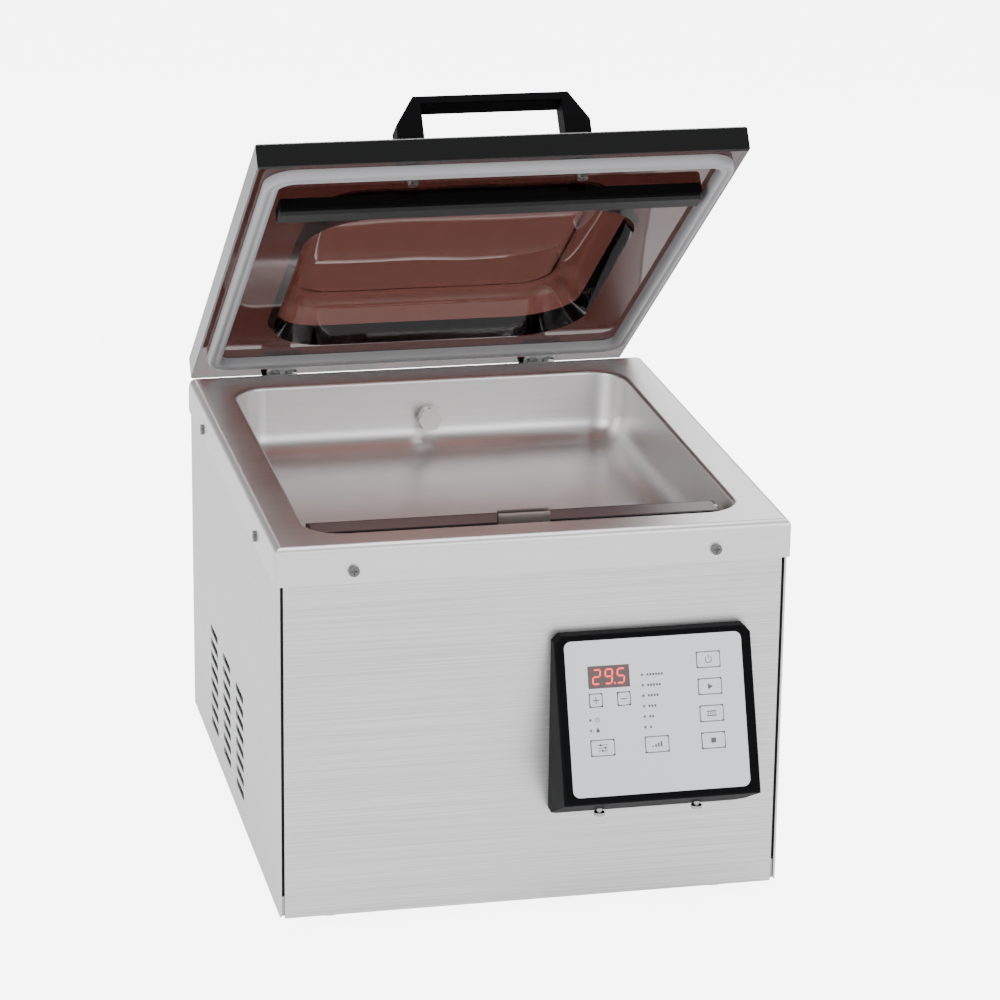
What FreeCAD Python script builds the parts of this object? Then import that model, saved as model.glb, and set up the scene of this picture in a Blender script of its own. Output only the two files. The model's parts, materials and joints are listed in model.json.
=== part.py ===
"""Chamber vacuum sealer: a table-top machine with a hinged clear lid, built as separate pieces.

X runs to the right, Y to the back and Z up; the floor is Z = 0. The lid's pieces are drawn
with the lid shut and then turned about the hinge shaft to the angle at which the lid rests open.
"""
import FreeCAD, Part
import Sketcher
import os
import re

Vector = FreeCAD.Vector

# --------------------------------------------------------------------------------------------
# Driving dimensions, in millimetres and degrees
# --------------------------------------------------------------------------------------------
DIMENSIONS = """
rim_width 370        rim_depth 436        rim_front -214.5     skirt_height 28
casing_height 249    foot_height 12       sheet 1.5            casing_inset 2
skirt_bend 5         back_bend 14         panel_overlap 14     panel_gap 2.2
seam 0.8             clearance 0.3

chamber_half 156.3   chamber_margin 28    chamber_length 363.7 chamber_corner 27
chamber_depth 55     chamber_draft 4      chamber_floor_bend 20 lip_bend 3

vent_length 38       vent_height 6.2      vent_pitch 11        vent_low 35.5
vent_column 65       vent_middle 37.6     vent_rows 8          vent_columns 3
rear_vent_x 75       arm_slot_drop 19.5   arm_slot_rise 8.5
post_width 18        tray_flange 15

foot_radius 14.5     foot_inset_x 40      foot_inset_y 35      screw_radius 2
screw_head 4         screw_head_height 2.2 screw_fit 0.05      screw_reach 8

box_middle 83.3      box_width 143.4      box_low 76.4         box_high 214.2
box_top_depth 10     box_bottom_depth 52  box_chin 26.6        box_wall 3
box_corner 5         box_edge 3           box_screw_spread 36  chin_screw_y 9       chin_screw_z 2.4

plate_width 129      plate_height 110     plate_drop 3.6       plate_thickness 1
plate_recess 0.6     plate_corner 5       plate_shift -0.7
key_width 17.4       key_height 11.5      small_key 9.6        key_corner 2
key_proud 0.3        key_play 0.15        key_column 39.5      key_first 36.4
key_pitch 19.1       function_key 41.2    degree_key 1.7       adjust_key 44
adjust_row 12.7      adjust_pitch 20.4
window_x -33.6       window_y 28.9        window_width 30.3    window_height 15.9
led_radius 0.9       led_pitch 7.4        level_led_x -9.4     level_led_y 28.6
time_led_x -48.9     board_depth 9        board_thickness 1.6  board_width 116
board_height 88      board_drop 4         tact_size 6          tact_height 3.5
tact_button 1.1      tact_radius 1.7      stem_radius 2

lid_open 35.5        lid_width 356        lid_length 440       lid_thickness 19
lid_gap 8            lid_overhang 4       lid_edge 1.2         dome_half 130
dome_front 100       dome_back 378        dome_rise 24         dome_corner 55
dome_wall 9          dome_draft 30        dome_bend 18
gasket_half 171      gasket_front 4.5     gasket_back 404.5     gasket_width 10.5
gasket_corner 22     gasket_groove 3
counter_half 155     counter_front 58     counter_width 24     counter_height 8
strip_width 14       strip_height 5       strip_sunk 2
handle_half 71       handle_top_half 57   handle_inner 51.5    handle_front 27
handle_depth 21      handle_height 43.5   handle_bar 6.5       handle_shoulder 22
handle_screw_x 62    handle_screw_y 37    handle_edge 1.5

hinge_inset 14.8     hinge_drop 46.2      hinge_x 106          arm_width 23
arm_thickness 7      arm_under 8          arm_behind 1         hub_radius 10
shaft_radius 6       shaft_end 144        bearing_width 16     bearing_half 14
running_play 0.05    bush_width 3.5       plate_under 33       bolt_spread 7
top_plate 3          bolt_radius 3        bolt_head 5          slot_play 2
spring_wire 2.5      spring_radius 9      spring_turns 6       spring_x 57
bolt_inset 16        bush_radius 3.4      bush_bore 1.2        plate_half 15

nozzle_drop 29       nozzle_radius 6      nozzle_bore 4        cap_flats 17
cap_length 9         cap_standoff 6       nozzle_bend 11       nozzle_fall 12
cap_vent 1.5
clip_width 37.5      clip_y 40            clip_rise 3          clip_leaf 1
clip_mouth 5.5       clip_fall 25
bar_half 150         bar_width 24         bar_height 22        bar_top_drop 10
band_width 5         band_height 0.3      tape_width 20        tape_height 0.2
lift_x 110           lift_radius 14       lift_length 40       rod_radius 5
rod_reach 12

hose_radius 8        hose_bore 5          hose_turn 20         hose_low 195
hose_x -95           hose_y 60            port_depth 20        pump_soft 8
mount_radius 12      mount_height 15      pump_x -150          pump_y -30
pump_length 108      pump_width 120       pump_height 136      motor_radius 58
motor_length 130     motor_wall 6         motor_core 30        motor_shaft 8
motor_gap 2          shaft_reach 30       fan_radius 50        fan_length 16
fan_hub 14
fan_blades 7         cowl_length 30       cowl_wall 2          pad_plate 3
trafo_x 108          trafo_y 90           trafo_width 60       trafo_depth 74
trafo_height 66      trafo_leg 12         trafo_pole 20        coil_proud 8
valve_x 70           valve_y 100          valve_size 30        valve_height 46
inlet_x -120         inlet_z 60           inlet_width 48       inlet_height 30
inlet_flange 2.5     inlet_depth 24       inlet_body 28        inlet_body_height 21
inlet_cavity_width 24 inlet_cavity_height 16.5
inlet_cavity 17      pin_width 4          pin_thickness 2      pin_length 12
pin_pitch 7          ear_pitch 20         switch_size 14       switch_width 10
lever_gap 2.5        lever_width 6        lever_thickness 0.6
rim_screw_drop 18.7  rim_screw_front 130  rim_screw_back 60    rim_screw_y 86
rear_screw_x 165
"""

# Sizes that follow from the driving ones
DERIVED = {
    "skirt_bottom": "foot_height + casing_height",
    "rim_top": "skirt_bottom + skirt_height",
    "rim_back": "rim_front + rim_depth",
    "casing_front": "rim_front + casing_inset",
    "casing_back": "rim_back - casing_inset",
    "casing_half": "rim_width / 2 - casing_inset",
    "panel_top": "skirt_bottom + panel_overlap",
    "chamber_front": "rim_front + chamber_margin",
    "chamber_back": "chamber_front + chamber_length",
    "chamber_floor": "rim_top - chamber_depth",
    "lid_back": "rim_back + lid_overhang",
    "lid_front": "lid_back - lid_length",
    "lid_under": "rim_top + lid_gap",
    "lid_top": "lid_under + lid_thickness",
    "hinge_y": "rim_back - hinge_inset",
    "hinge_z": "rim_top - hinge_drop",
    "leg_inner": "lid_back + arm_behind",
    "leg_outer": "leg_inner + arm_thickness",
    "box_rise": "box_high - box_low - box_chin",
    "box_run": "box_bottom_depth - box_top_depth",
    "box_tilt": "atan(box_run / box_rise) / 1 deg",
    "bar_y": "lid_front + counter_front + counter_width / 2",
    "bar_top": "rim_top - bar_top_drop",
    "bar_under": "bar_top - bar_height",
    "tray_top": "foot_height + sheet",
    "pad_top": "tray_top + mount_height + pad_plate",
    "motor_z": "pad_top + motor_radius + 4",
    "motor_y": "pump_y + pump_width / 2",
    "motor_start": "pump_x + pump_length",
    "nozzle_z": "rim_top - nozzle_drop",
    "wall_slope": "tan(chamber_draft)",
    "nozzle_wall": "chamber_back - nozzle_drop * wall_slope",
    "face_drop": "plate_drop + plate_height / 2",
}

doc = FreeCAD.newDocument("ChamberVacuumSealer")
dims = doc.addObject("Spreadsheet::Sheet", "Dims")
ALIASES = set()
for row, (alias, number) in enumerate(re.findall(r"([a-z]\w*)\s+(-?[\d.]+)", DIMENSIONS), 1):
    dims.set("A%d" % row, alias)
    dims.set("B%d" % row, number)
    dims.setAlias("B%d" % row, alias)
    ALIASES.add(alias)
doc.recompute()


def formula(text):
    """Writes out a formula's words as cells of the sheet."""
    def swap(match):
        word = match.group(0)
        if word in DERIVED:
            return "(" + formula(DERIVED[word]) + ")"
        return "Dims." + word if word in ALIASES else word
    return re.sub(r"[a-z]\w*", swap, str(text))


def number(text):
    """The value of a formula, for the few shapes that are computed here."""
    return float(dims.evalExpression(formula(text)))


def bind(item, **formulas):
    for name, text in formulas.items():
        item.setExpression(name, formula(text))
    return item


def place(item, x=0, y=0, z=0):
    for axis, text in zip("xyz", (x, y, z)):
        item.setExpression(".Placement.Base." + axis, formula(text))
    return item


def box(name, x, y, z, length, width, height):
    item = bind(doc.addObject("Part::Box", name), Length=length, Width=width, Height=height)
    return place(item, x, y, z)


TURNS = {
    "x": FreeCAD.Rotation(Vector(0, 1, 0), 90),
    "y": FreeCAD.Rotation(Vector(1, 0, 0), -90),
    "z": FreeCAD.Rotation(),
}


def rod(name, axis, x, y, z, radius, length):
    """A cylinder from (x, y, z) along an axis."""
    item = bind(doc.addObject("Part::Cylinder", name), Radius=radius, Height=length)
    item.Placement = FreeCAD.Placement(Vector(), TURNS[axis])
    return place(item, x, y, z)


def joined(name, *items):
    item = doc.addObject("Part::MultiFuse", name)
    item.Shapes = list(items)
    return item


def cut(name, base, *tools):
    item = doc.addObject("Part::Cut", name)
    item.Base = base
    item.Tool = tools[0] if len(tools) == 1 else joined(name + "_tools", *tools)
    return item


def group(name, *items):
    """Separate like solids that share one node."""
    item = doc.addObject("Part::Compound", name)
    item.Links = list(items)
    return item


def edges_of(shape, test):
    return ["Edge%d" % i for i, edge in enumerate(shape.Edges, 1) if test(edge)]


def level(z):
    """A test for edges that lie wholly at one height."""
    return lambda edge: abs(edge.BoundBox.ZMin - z) < 0.01 and abs(edge.BoundBox.ZMax - z) < 0.01


# --------------------------------------------------------------------------------------------
# PartDesign helpers
# --------------------------------------------------------------------------------------------
def body_of(name):
    return doc.addObject("PartDesign::Body", name)


def sketch_on(body, role, offset="0", name="Outline"):
    sketch = body.newObject("Sketcher::SketchObject", body.Name + name)
    plane = [item for item in body.Origin.OriginFeatures if item.Role == role][0]
    sketch.AttachmentSupport = [(plane, "")]
    sketch.MapMode = "FlatFace"
    sketch.setExpression("AttachmentOffset.Base.z", formula(offset))
    return sketch


def fix_point(sketch, edge, end, u, v):
    """Ties one end of a sketch edge to the sketch's origin by two formulas."""
    for kind, text in (("DistanceX", u), ("DistanceY", v)):
        index = sketch.addConstraint(Sketcher.Constraint(kind, -1, 1, edge, end, number(text)))
        sketch.setExpression("Constraints[%d]" % index, formula(text))


def polygon(sketch, corners):
    """A closed outline whose corners are pairs of formulas."""
    points = [Vector(number(u), number(v), 0) for u, v in corners]
    count = len(points)
    lines = [Part.LineSegment(points[i], points[(i + 1) % count]) for i in range(count)]
    first = sketch.addGeometry(lines, False)[0]
    for i in range(count):
        following = first + (i + 1) % count
        sketch.addConstraint(Sketcher.Constraint("Coincident", first + i, 2, following, 1))
    for i, (u, v) in enumerate(corners):
        fix_point(sketch, first + i, 1, u, v)


def rectangle(sketch, u0, v0, u1, v1):
    polygon(sketch, [(u0, v0), (u1, v0), (u1, v1), (u0, v1)])


def rounded(sketch, u0, v0, u1, v1, radius):
    """A rectangle with round corners: four sides, and four arcs tangent to them."""
    a, b, c, d, r = (number(text) for text in (u0, v0, u1, v1, radius))
    sides = [((a + r, b), (c - r, b)), ((c, b + r), (c, d - r)),
             ((c - r, d), (a + r, d)), ((a, d - r), (a, b + r))]
    centres = [(c - r, b + r), (c - r, d - r), (a + r, d - r), (a + r, b + r)]
    quarter = 1.5707963267948966
    lines = [Part.LineSegment(Vector(*p, 0), Vector(*q, 0)) for p, q in sides]
    arcs = []
    for i, centre in enumerate(centres):
        circle = Part.Circle(Vector(*centre, 0), Vector(0, 0, 1), r)
        arcs.append(Part.ArcOfCircle(circle, (i - 1) * quarter, i * quarter))
    first = sketch.addGeometry(lines + arcs, False)[0]
    for i in range(4):
        side, arc, following = first + i, first + 4 + i, first + (i + 1) % 4
        sketch.addConstraint(Sketcher.Constraint("Tangent", side, 2, arc, 1))
        sketch.addConstraint(Sketcher.Constraint("Tangent", arc, 2, following, 1))
        sketch.addConstraint(Sketcher.Constraint("Horizontal" if i % 2 == 0 else "Vertical", side))
    for i in range(1, 4):
        sketch.addConstraint(Sketcher.Constraint("Equal", first + 4, first + 4 + i))
    index = sketch.addConstraint(Sketcher.Constraint("Radius", first + 4, r))
    sketch.setExpression("Constraints[%d]" % index, formula(radius))
    for side, kind, text in ((0, "DistanceY", v0), (2, "DistanceY", v1),
                             (3, "DistanceX", u0), (1, "DistanceX", u1)):
        index = sketch.addConstraint(Sketcher.Constraint(kind, -1, 1, first + side, 1, number(text)))
        sketch.setExpression("Constraints[%d]" % index, formula(text))


def obround(sketch, u0, u1, v, radius):
    """A level slot with round ends; u0 and u1 are the middles of its ends."""
    a, b, c, r = (number(text) for text in (u0, u1, v, radius))
    half_turn = 3.141592653589793
    ends = []
    for middle, turn in ((b, -0.5), (a, 0.5)):
        circle = Part.Circle(Vector(middle, c, 0), Vector(0, 0, 1), r)
        ends.append(Part.ArcOfCircle(circle, turn * half_turn, (turn + 1) * half_turn))
    lines = [Part.LineSegment(Vector(b, c + r, 0), Vector(a, c + r, 0)),
             Part.LineSegment(Vector(a, c - r, 0), Vector(b, c - r, 0))]
    right, left, top, low = sketch.addGeometry(ends + lines, False)
    for first, second in ((right, top), (top, left), (left, low), (low, right)):
        sketch.addConstraint(Sketcher.Constraint("Tangent", first, 2, second, 1))
    sketch.addConstraint(Sketcher.Constraint("Equal", right, left))
    index = sketch.addConstraint(Sketcher.Constraint("Radius", right, r))
    sketch.setExpression("Constraints[%d]" % index, formula(radius))
    fix_point(sketch, right, 3, u1, v)
    fix_point(sketch, left, 3, u0, v)


def disc(sketch, u, v, radius):
    circle = Part.Circle(Vector(number(u), number(v), 0), Vector(0, 0, 1), number(radius))
    edge = sketch.addGeometry(circle, False)
    index = sketch.addConstraint(Sketcher.Constraint("Radius", edge, number(radius)))
    sketch.setExpression("Constraints[%d]" % index, formula(radius))
    fix_point(sketch, edge, 3, u, v)


def pad(body, sketch, length, back=False, middle=False, taper="0"):
    item = body.newObject("PartDesign::Pad", body.Name + "Pad")
    item.Profile = sketch
    item.Reversed = back
    item.SideType = "Symmetric" if middle else "One side"
    bind(item, Length=length, TaperAngle=taper)
    sketch.Visibility = False
    return item


def pocket(body, sketch, length, back=False, middle=False, taper="0"):
    """Cuts a pocket, and stops if it points away from the solid."""
    doc.recompute()
    before = body.Tip.Shape.Volume
    item = body.newObject("PartDesign::Pocket", body.Name + "Pocket")
    item.Profile = sketch
    item.Reversed = back
    item.SideType = "Symmetric" if middle else "One side"
    bind(item, Length=length, TaperAngle=taper)
    doc.recompute()
    if item.Shape.Volume > before - 0.01:
        raise RuntimeError("a pocket of %s cut nothing" % body.Name)
    return item


def dress(body, kind, size, test):
    """A fillet or chamfer on the edges that pass a test."""
    doc.recompute()
    base = body.Tip
    names = edges_of(base.Shape, test)
    if not names:
        raise RuntimeError("no edge to dress on %s" % body.Name)
    item = body.newObject("PartDesign::" + kind, body.Name + kind)
    item.Base = (base, names)
    return bind(item, **{"Radius" if kind == "Fillet" else "Size": size})


def pattern(body, feature, *steps):
    """Repeats a feature along axes; each step is an axis, a count and a gap."""
    item = body.newObject("PartDesign::MultiTransform", body.Name + "Rows")
    lines = []
    for axis, count, gap in steps:
        step = body.newObject("PartDesign::LinearPattern", body.Name + axis[0])
        line = [datum for datum in body.Origin.OriginFeatures if datum.Role == axis][0]
        step.Direction = (line, [""])
        bind(step, Length="(%s - 1) * %s" % (count, gap), Occurrences=count)
        lines.append(step)
    item.Originals = [feature]
    item.Transformations = lines
    body.Tip = item


# --------------------------------------------------------------------------------------------
# Nodes
# --------------------------------------------------------------------------------------------
NODES = []
SHUT_TO_OPEN = (
    "placement(vector(0; 0; 0); rotation(vector(1; 0; 0); -lid_open); vector(0; hinge_y; hinge_z))"
)


def node(label, item, where=None):
    """Names a finished piece; where is the formula of its placement, if it has one."""
    item.Label = label
    if where:
        item.setExpression("Placement", formula(where))
    NODES.append(item)
    return item


# --------------------------------------------------------------------------------------------
# Casing: folded stainless sheet
# --------------------------------------------------------------------------------------------
def panel(name, role, offset, u0, v0, u1, v1, back=False):
    """A flat sheet as a sketch and a pad, its outer face at the offset."""
    body = body_of(name)
    outline = sketch_on(body, role, offset)
    rectangle(outline, u0, v0, u1, v1)
    pad(body, outline, "sheet", back=back)
    return body


def offset(point, axis, shift):
    return [text if k != axis else "%s + (%s)" % (text, shift) for k, text in zip("xyz", point)]


def rim_screw_places(where):
    """Middle, axis and outward way of the skirt's screws on one of its sides."""
    z = "rim_top - rim_screw_drop"
    if where == "front":
        return [("%d * rim_screw_front" % side, "rim_front", z, "y", -1) for side in (-1, 1)]
    if where == "back":
        return [("%d * rim_screw_back" % side, "rim_back", z, "y", 1) for side in (-1, 1)]
    side = -1 if where == "left" else 1
    return [("%d * rim_width / 2" % side, y, z, "x", side)
            for y in ("rim_front + rim_screw_y", "rim_back - rim_screw_y - 2")]


def rear_screw_places(height):
    return [("%d * rear_screw_x" % side, "casing_back", height, "y", 1) for side in (-1, 1)]


LOW_REAR = "foot_height + 10"
HIGH_REAR = "foot_height + casing_height / 2"


def screw_holes(places):
    """Rods that cut a close hole for each screw."""
    return [rod("ScrewHole", axis, *offset((x, y, z), axis, "-screw_reach - 2"), "screw_radius + screw_fit",
                "2 * screw_reach + 4") for x, y, z, axis, outward in places]


def make_front_panel():
    reach = "casing_half - sheet - panel_gap"
    body = panel("FrontPanel", "XZ_Plane", "-casing_front", "-(%s)" % reach, "foot_height - sheet",
                 reach, "panel_top", back=True)
    opening = sketch_on(body, "XZ_Plane", "-casing_front", "Cable")
    disc(opening, "box_middle", "(box_low + box_high) / 2", "foot_radius")
    pocket(body, opening, "sheet")
    node("front_panel", cut("FrontSheet", body, *screw_holes(rim_screw_places("front"))))


def make_side_panel(label, name, side):
    offset = "%d * casing_half" % side
    body = panel(name, "YZ_Plane", offset, "casing_front", "foot_height", "casing_back", "panel_top",
                 back=side > 0)
    slot = sketch_on(body, "YZ_Plane", offset, "Slot")
    start = "vent_middle - vent_column"
    reach = "(vent_length - vent_height) / 2"
    obround(slot, "%s - %s" % (start, reach), "%s + %s" % (start, reach), "vent_low",
            "vent_height / 2")
    hole = pocket(body, slot, "sheet", back=side < 0)
    pattern(body, hole, ("Z_Axis", "vent_rows", "vent_pitch"), ("Y_Axis", "vent_columns", "vent_column"))
    where = "left" if side < 0 else "right"
    node(label, cut(name + "Sheet", body, *screw_holes(rim_screw_places(where))))


def make_rear_panel():
    reach = "casing_half - sheet - panel_gap"
    body = panel("RearPanel", "XZ_Plane", "-casing_back", "-(%s)" % reach, "foot_height", reach, "panel_top")
    slot = sketch_on(body, "XZ_Plane", "-casing_back", "Slot")
    obround(slot, "rear_vent_x - vent_length", "rear_vent_x + vent_length", "vent_low", "vent_height / 2")
    pattern(body, pocket(body, slot, "sheet", back=True), ("Z_Axis", "vent_rows", "vent_pitch"))
    inside = "casing_back - sheet - 1"
    tools = [
        box("ArmSlot", "%d * hinge_x - arm_width / 2 - slot_play" % side, inside, "hinge_z - arm_slot_drop",
            "arm_width + 2 * slot_play", "sheet + 2", "arm_slot_drop + arm_slot_rise")
        for side in (-1, 1)
    ]
    tools.append(box("InletHole", "inlet_x - inlet_body / 2 - clearance", inside,
                     "inlet_z - inlet_body_height / 2 - clearance",
                     "inlet_body + 2 * clearance", "sheet + 2", "inlet_body_height + 2 * clearance"))
    places = rim_screw_places("back") + rear_screw_places(LOW_REAR) + rear_screw_places(HIGH_REAR)
    tools += screw_holes(places)
    tools += [rod("EarScrewHole", "y", "inlet_x + %d * ear_pitch" % side, inside, "inlet_z",
                  "screw_radius + screw_fit", "sheet + 2") for side in (-1, 1)]
    node("rear_panel", cut("RearSheet", body, *tools))


def make_base_tray():
    half = "casing_half - sheet - clearance"
    front = "casing_front + sheet + clearance"
    back = "casing_back - sheet - clearance"
    outer = box("TrayOuter", "-(%s)" % half, front, "foot_height", "2 * (%s)" % half,
                "(%s) - (%s)" % (back, front), "tray_flange")
    inner = box("TrayInner", "-(%s) + sheet" % half, front + " + sheet", "tray_top",
                "2 * (%s - sheet)" % half, "(%s) - (%s) - 2 * sheet" % (back, front), "tray_flange")
    holes = [rod("TrayHole", "z", x, y, "foot_height - 1", "screw_radius + clearance", "sheet + 2")
             for x, y in foot_places()]
    holes += screw_holes(rear_screw_places(LOW_REAR))
    node("base_tray", cut("BaseTray", outer, inner, *holes))


def foot_places():
    return [("%d * (casing_half - foot_inset_x)" % side, y) for side in (-1, 1)
            for y in ("casing_front + foot_inset_y", "casing_back - foot_inset_y")]


def make_feet():
    feet = []
    screws = []
    for x, y in foot_places():
        foot = bind(doc.addObject("Part::Cone", "Foot"), Radius1="foot_radius - 1.5", Radius2="foot_radius",
                    Height="foot_height")
        place(foot, x, y, "0")
        bore = rod("FootBore", "z", x, y, "3", "screw_radius", "foot_height")
        sink = rod("FootSink", "z", x, y, "-1", "screw_head + 0.5", "4")
        feet.append(cut("FootCut", foot, bore, sink))
        shank = rod("FootShank", "z", x, y, "3", "screw_radius", "foot_height + 1")
        head = rod("FootHead", "z", x, y, "3 - screw_head_height", "screw_head", "screw_head_height")
        screws.append(joined("FootScrew", shank, head))
    node("rubber_feet", group("RubberFeet", *feet))
    node("foot_screws", group("FootScrews", *screws))


def make_posts():
    """Four folded angles stand on the tray behind the panels' corners."""
    posts = []
    inside = "casing_half - sheet - clearance"
    for sx in (-1, 1):
        for sy in (-1, 1):
            corner_y = "casing_front + sheet + clearance" if sy < 0 else "casing_back - sheet - clearance"
            body = body_of("Post")
            outline = sketch_on(body, "XY_Plane", "tray_top + tray_flange")
            x0 = "%d * (%s)" % (sx, inside)
            x1 = "%s - %d * sheet" % (x0, sx)
            x2 = "%s - %d * post_width" % (x0, sx)
            y1 = "%s + %d * sheet" % (corner_y, -sy)
            y2 = "%s + %d * post_width" % (corner_y, -sy)
            polygon(outline, [(x0, corner_y), (x2, corner_y), (x2, y1), (x1, y1), (x1, y2), (x0, y2)])
            pad(body, outline, "panel_top - tray_top - tray_flange")
            posts.append(body)
    holes = screw_holes(rear_screw_places(HIGH_REAR))
    node("corner_posts", cut("DrilledPosts", group("CornerPosts", *posts), *holes))


def tub_block(name, grow):
    """The tub's outside (grow = sheet) or its hollow (grow = 0) as a drafted block."""
    body = body_of(name)
    outline = sketch_on(body, "XY_Plane", "rim_top - %s / 2" % grow)
    rounded(outline, "-chamber_half - %s" % grow, "chamber_front - %s" % grow, "chamber_half + %s" % grow,
            "chamber_back + %s" % grow, "chamber_corner + %s" % grow)
    pad(body, outline, "chamber_depth + %s / 2" % grow, back=True, taper="-chamber_draft")
    low = number("chamber_floor - %s" % grow)
    dress(body, "Fillet", "chamber_floor_bend + %s" % grow, level(low))
    return body


def make_chamber_top():
    """The rim, its skirt and the deep-drawn tub are one pressing."""
    body = body_of("Skirt")
    outline = sketch_on(body, "XY_Plane", "skirt_bottom")
    rectangle(outline, "-rim_width / 2", "rim_front", "rim_width / 2", "rim_back")
    pad(body, outline, "skirt_height")
    top = number("rim_top")
    back = number("rim_back")
    dress(body, "Fillet", "back_bend", lambda e: level(top)(e) and abs(e.BoundBox.YMin - back) < 0.01)
    dress(body, "Fillet", "skirt_bend", lambda e: level(top)(e) and e.BoundBox.YMin < back - 30)
    hollow = sketch_on(body, "YZ_Plane", "0", "Hollow")
    y0, y1 = "rim_front + sheet", "rim_back - sheet"
    z1 = "rim_top - sheet"
    slant = "(back_bend - sheet) * 0.293"
    polygon(hollow, [
        (y0, "skirt_bottom - 1"), (y1, "skirt_bottom - 1"), (y1, "rim_top - back_bend"),
        (y1 + " - " + slant, "rim_top - sheet - " + slant), ("rim_back - back_bend", z1), (y0, z1)])
    pocket(body, hollow, "rim_width - 2 * sheet", middle=True)
    pressing = joined("Pressing", body, tub_block("TubOutside", "sheet"))
    drawn = cut("Drawn", pressing, tub_block("TubHollow", "0"))
    doc.recompute()
    front, rear, half = number("chamber_front"), number("chamber_back"), number("chamber_half")
    lip = doc.addObject("Part::Fillet", "Lip")
    lip.Base = drawn
    bend = number("lip_bend")
    lip.Edges = [
        (i, bend, bend) for i, edge in enumerate(drawn.Shape.Edges, 1)
        if level(top)(edge) and abs(edge.CenterOfMass.x) < half + 0.1
        and front - 0.1 < edge.CenterOfMass.y < rear + 0.1
    ]
    holes = [rod("LiftHole", "z", "%d * lift_x" % side, "bar_y", "chamber_floor - 5",
                 "rod_radius + clearance", "10") for side in (-1, 1)]
    holes.append(rod("NozzleHole", "y", "0", "chamber_back - 20", "nozzle_z", "nozzle_radius + 0.01", "30"))
    for side in (-1, 1):
        holes.append(box("Seam", "%d * (rim_width - seam) / 2 - seam / 2" % side, "rim_front", "skirt_bottom",
                         "seam", "seam", "skirt_height"))
    for where in ("front", "back", "left", "right"):
        holes += screw_holes(rim_screw_places(where))
    node("chamber_top", cut("ChamberTop", lip, *holes))


def screw(x, y, z, axis, outward, length="screw_reach"):
    """A pan-head screw with a cross recess; outward is the way that its head points."""
    turned = rod("ScrewHead", axis, *offset((x, y, z), axis, "0" if outward > 0 else "-screw_head_height"),
                 "screw_head", "screw_head_height")
    shank = rod("Shank", axis, *offset((x, y, z), axis, "-" + length if outward > 0 else "0"), "screw_radius",
                length)
    solid = joined("Screw", turned, shank)
    depth = "screw_head_height / 2" if outward > 0 else "-screw_head_height"
    arms = []
    for spread in ("xyz".replace(axis, "")):
        sizes = {k: "0.8" for k in "xyz"}
        sizes[spread] = "screw_head * 1.2"
        sizes[axis] = "screw_head_height / 2"
        corner = dict(zip("xyz", (x, y, z)))
        for k in "xyz":
            shift = depth if k == axis else "-(%s) / 2" % sizes[k]
            corner[k] = "%s + (%s)" % (corner[k], shift)
        arms.append(box("Cross", corner["x"], corner["y"], corner["z"], sizes["x"], sizes["y"], sizes["z"]))
    return cut("CrossScrew", solid, *arms)


def make_screws():
    """Eight screws through the skirt; eight more hold the rear panel, the inlet and the control box."""
    rim = [screw(*place) for where in ("front", "back", "left", "right") for place in rim_screw_places(where)]
    node("rim_screws", group("RimScrews", *rim))
    case = [screw(*place) for place in rear_screw_places(LOW_REAR) + rear_screw_places(HIGH_REAR)]
    for side in (-1, 1):
        ear = "inlet_x + %d * ear_pitch" % side
        case.append(screw(ear, "casing_back + inlet_flange", "inlet_z", "y", 1))
        x = "box_middle + %d * box_screw_spread" % side
        case.append(screw(x, "casing_front - chin_screw_y", "box_low + chin_screw_z", "z", -1))
    node("case_screws", group("CaseScrews", *case))


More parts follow.
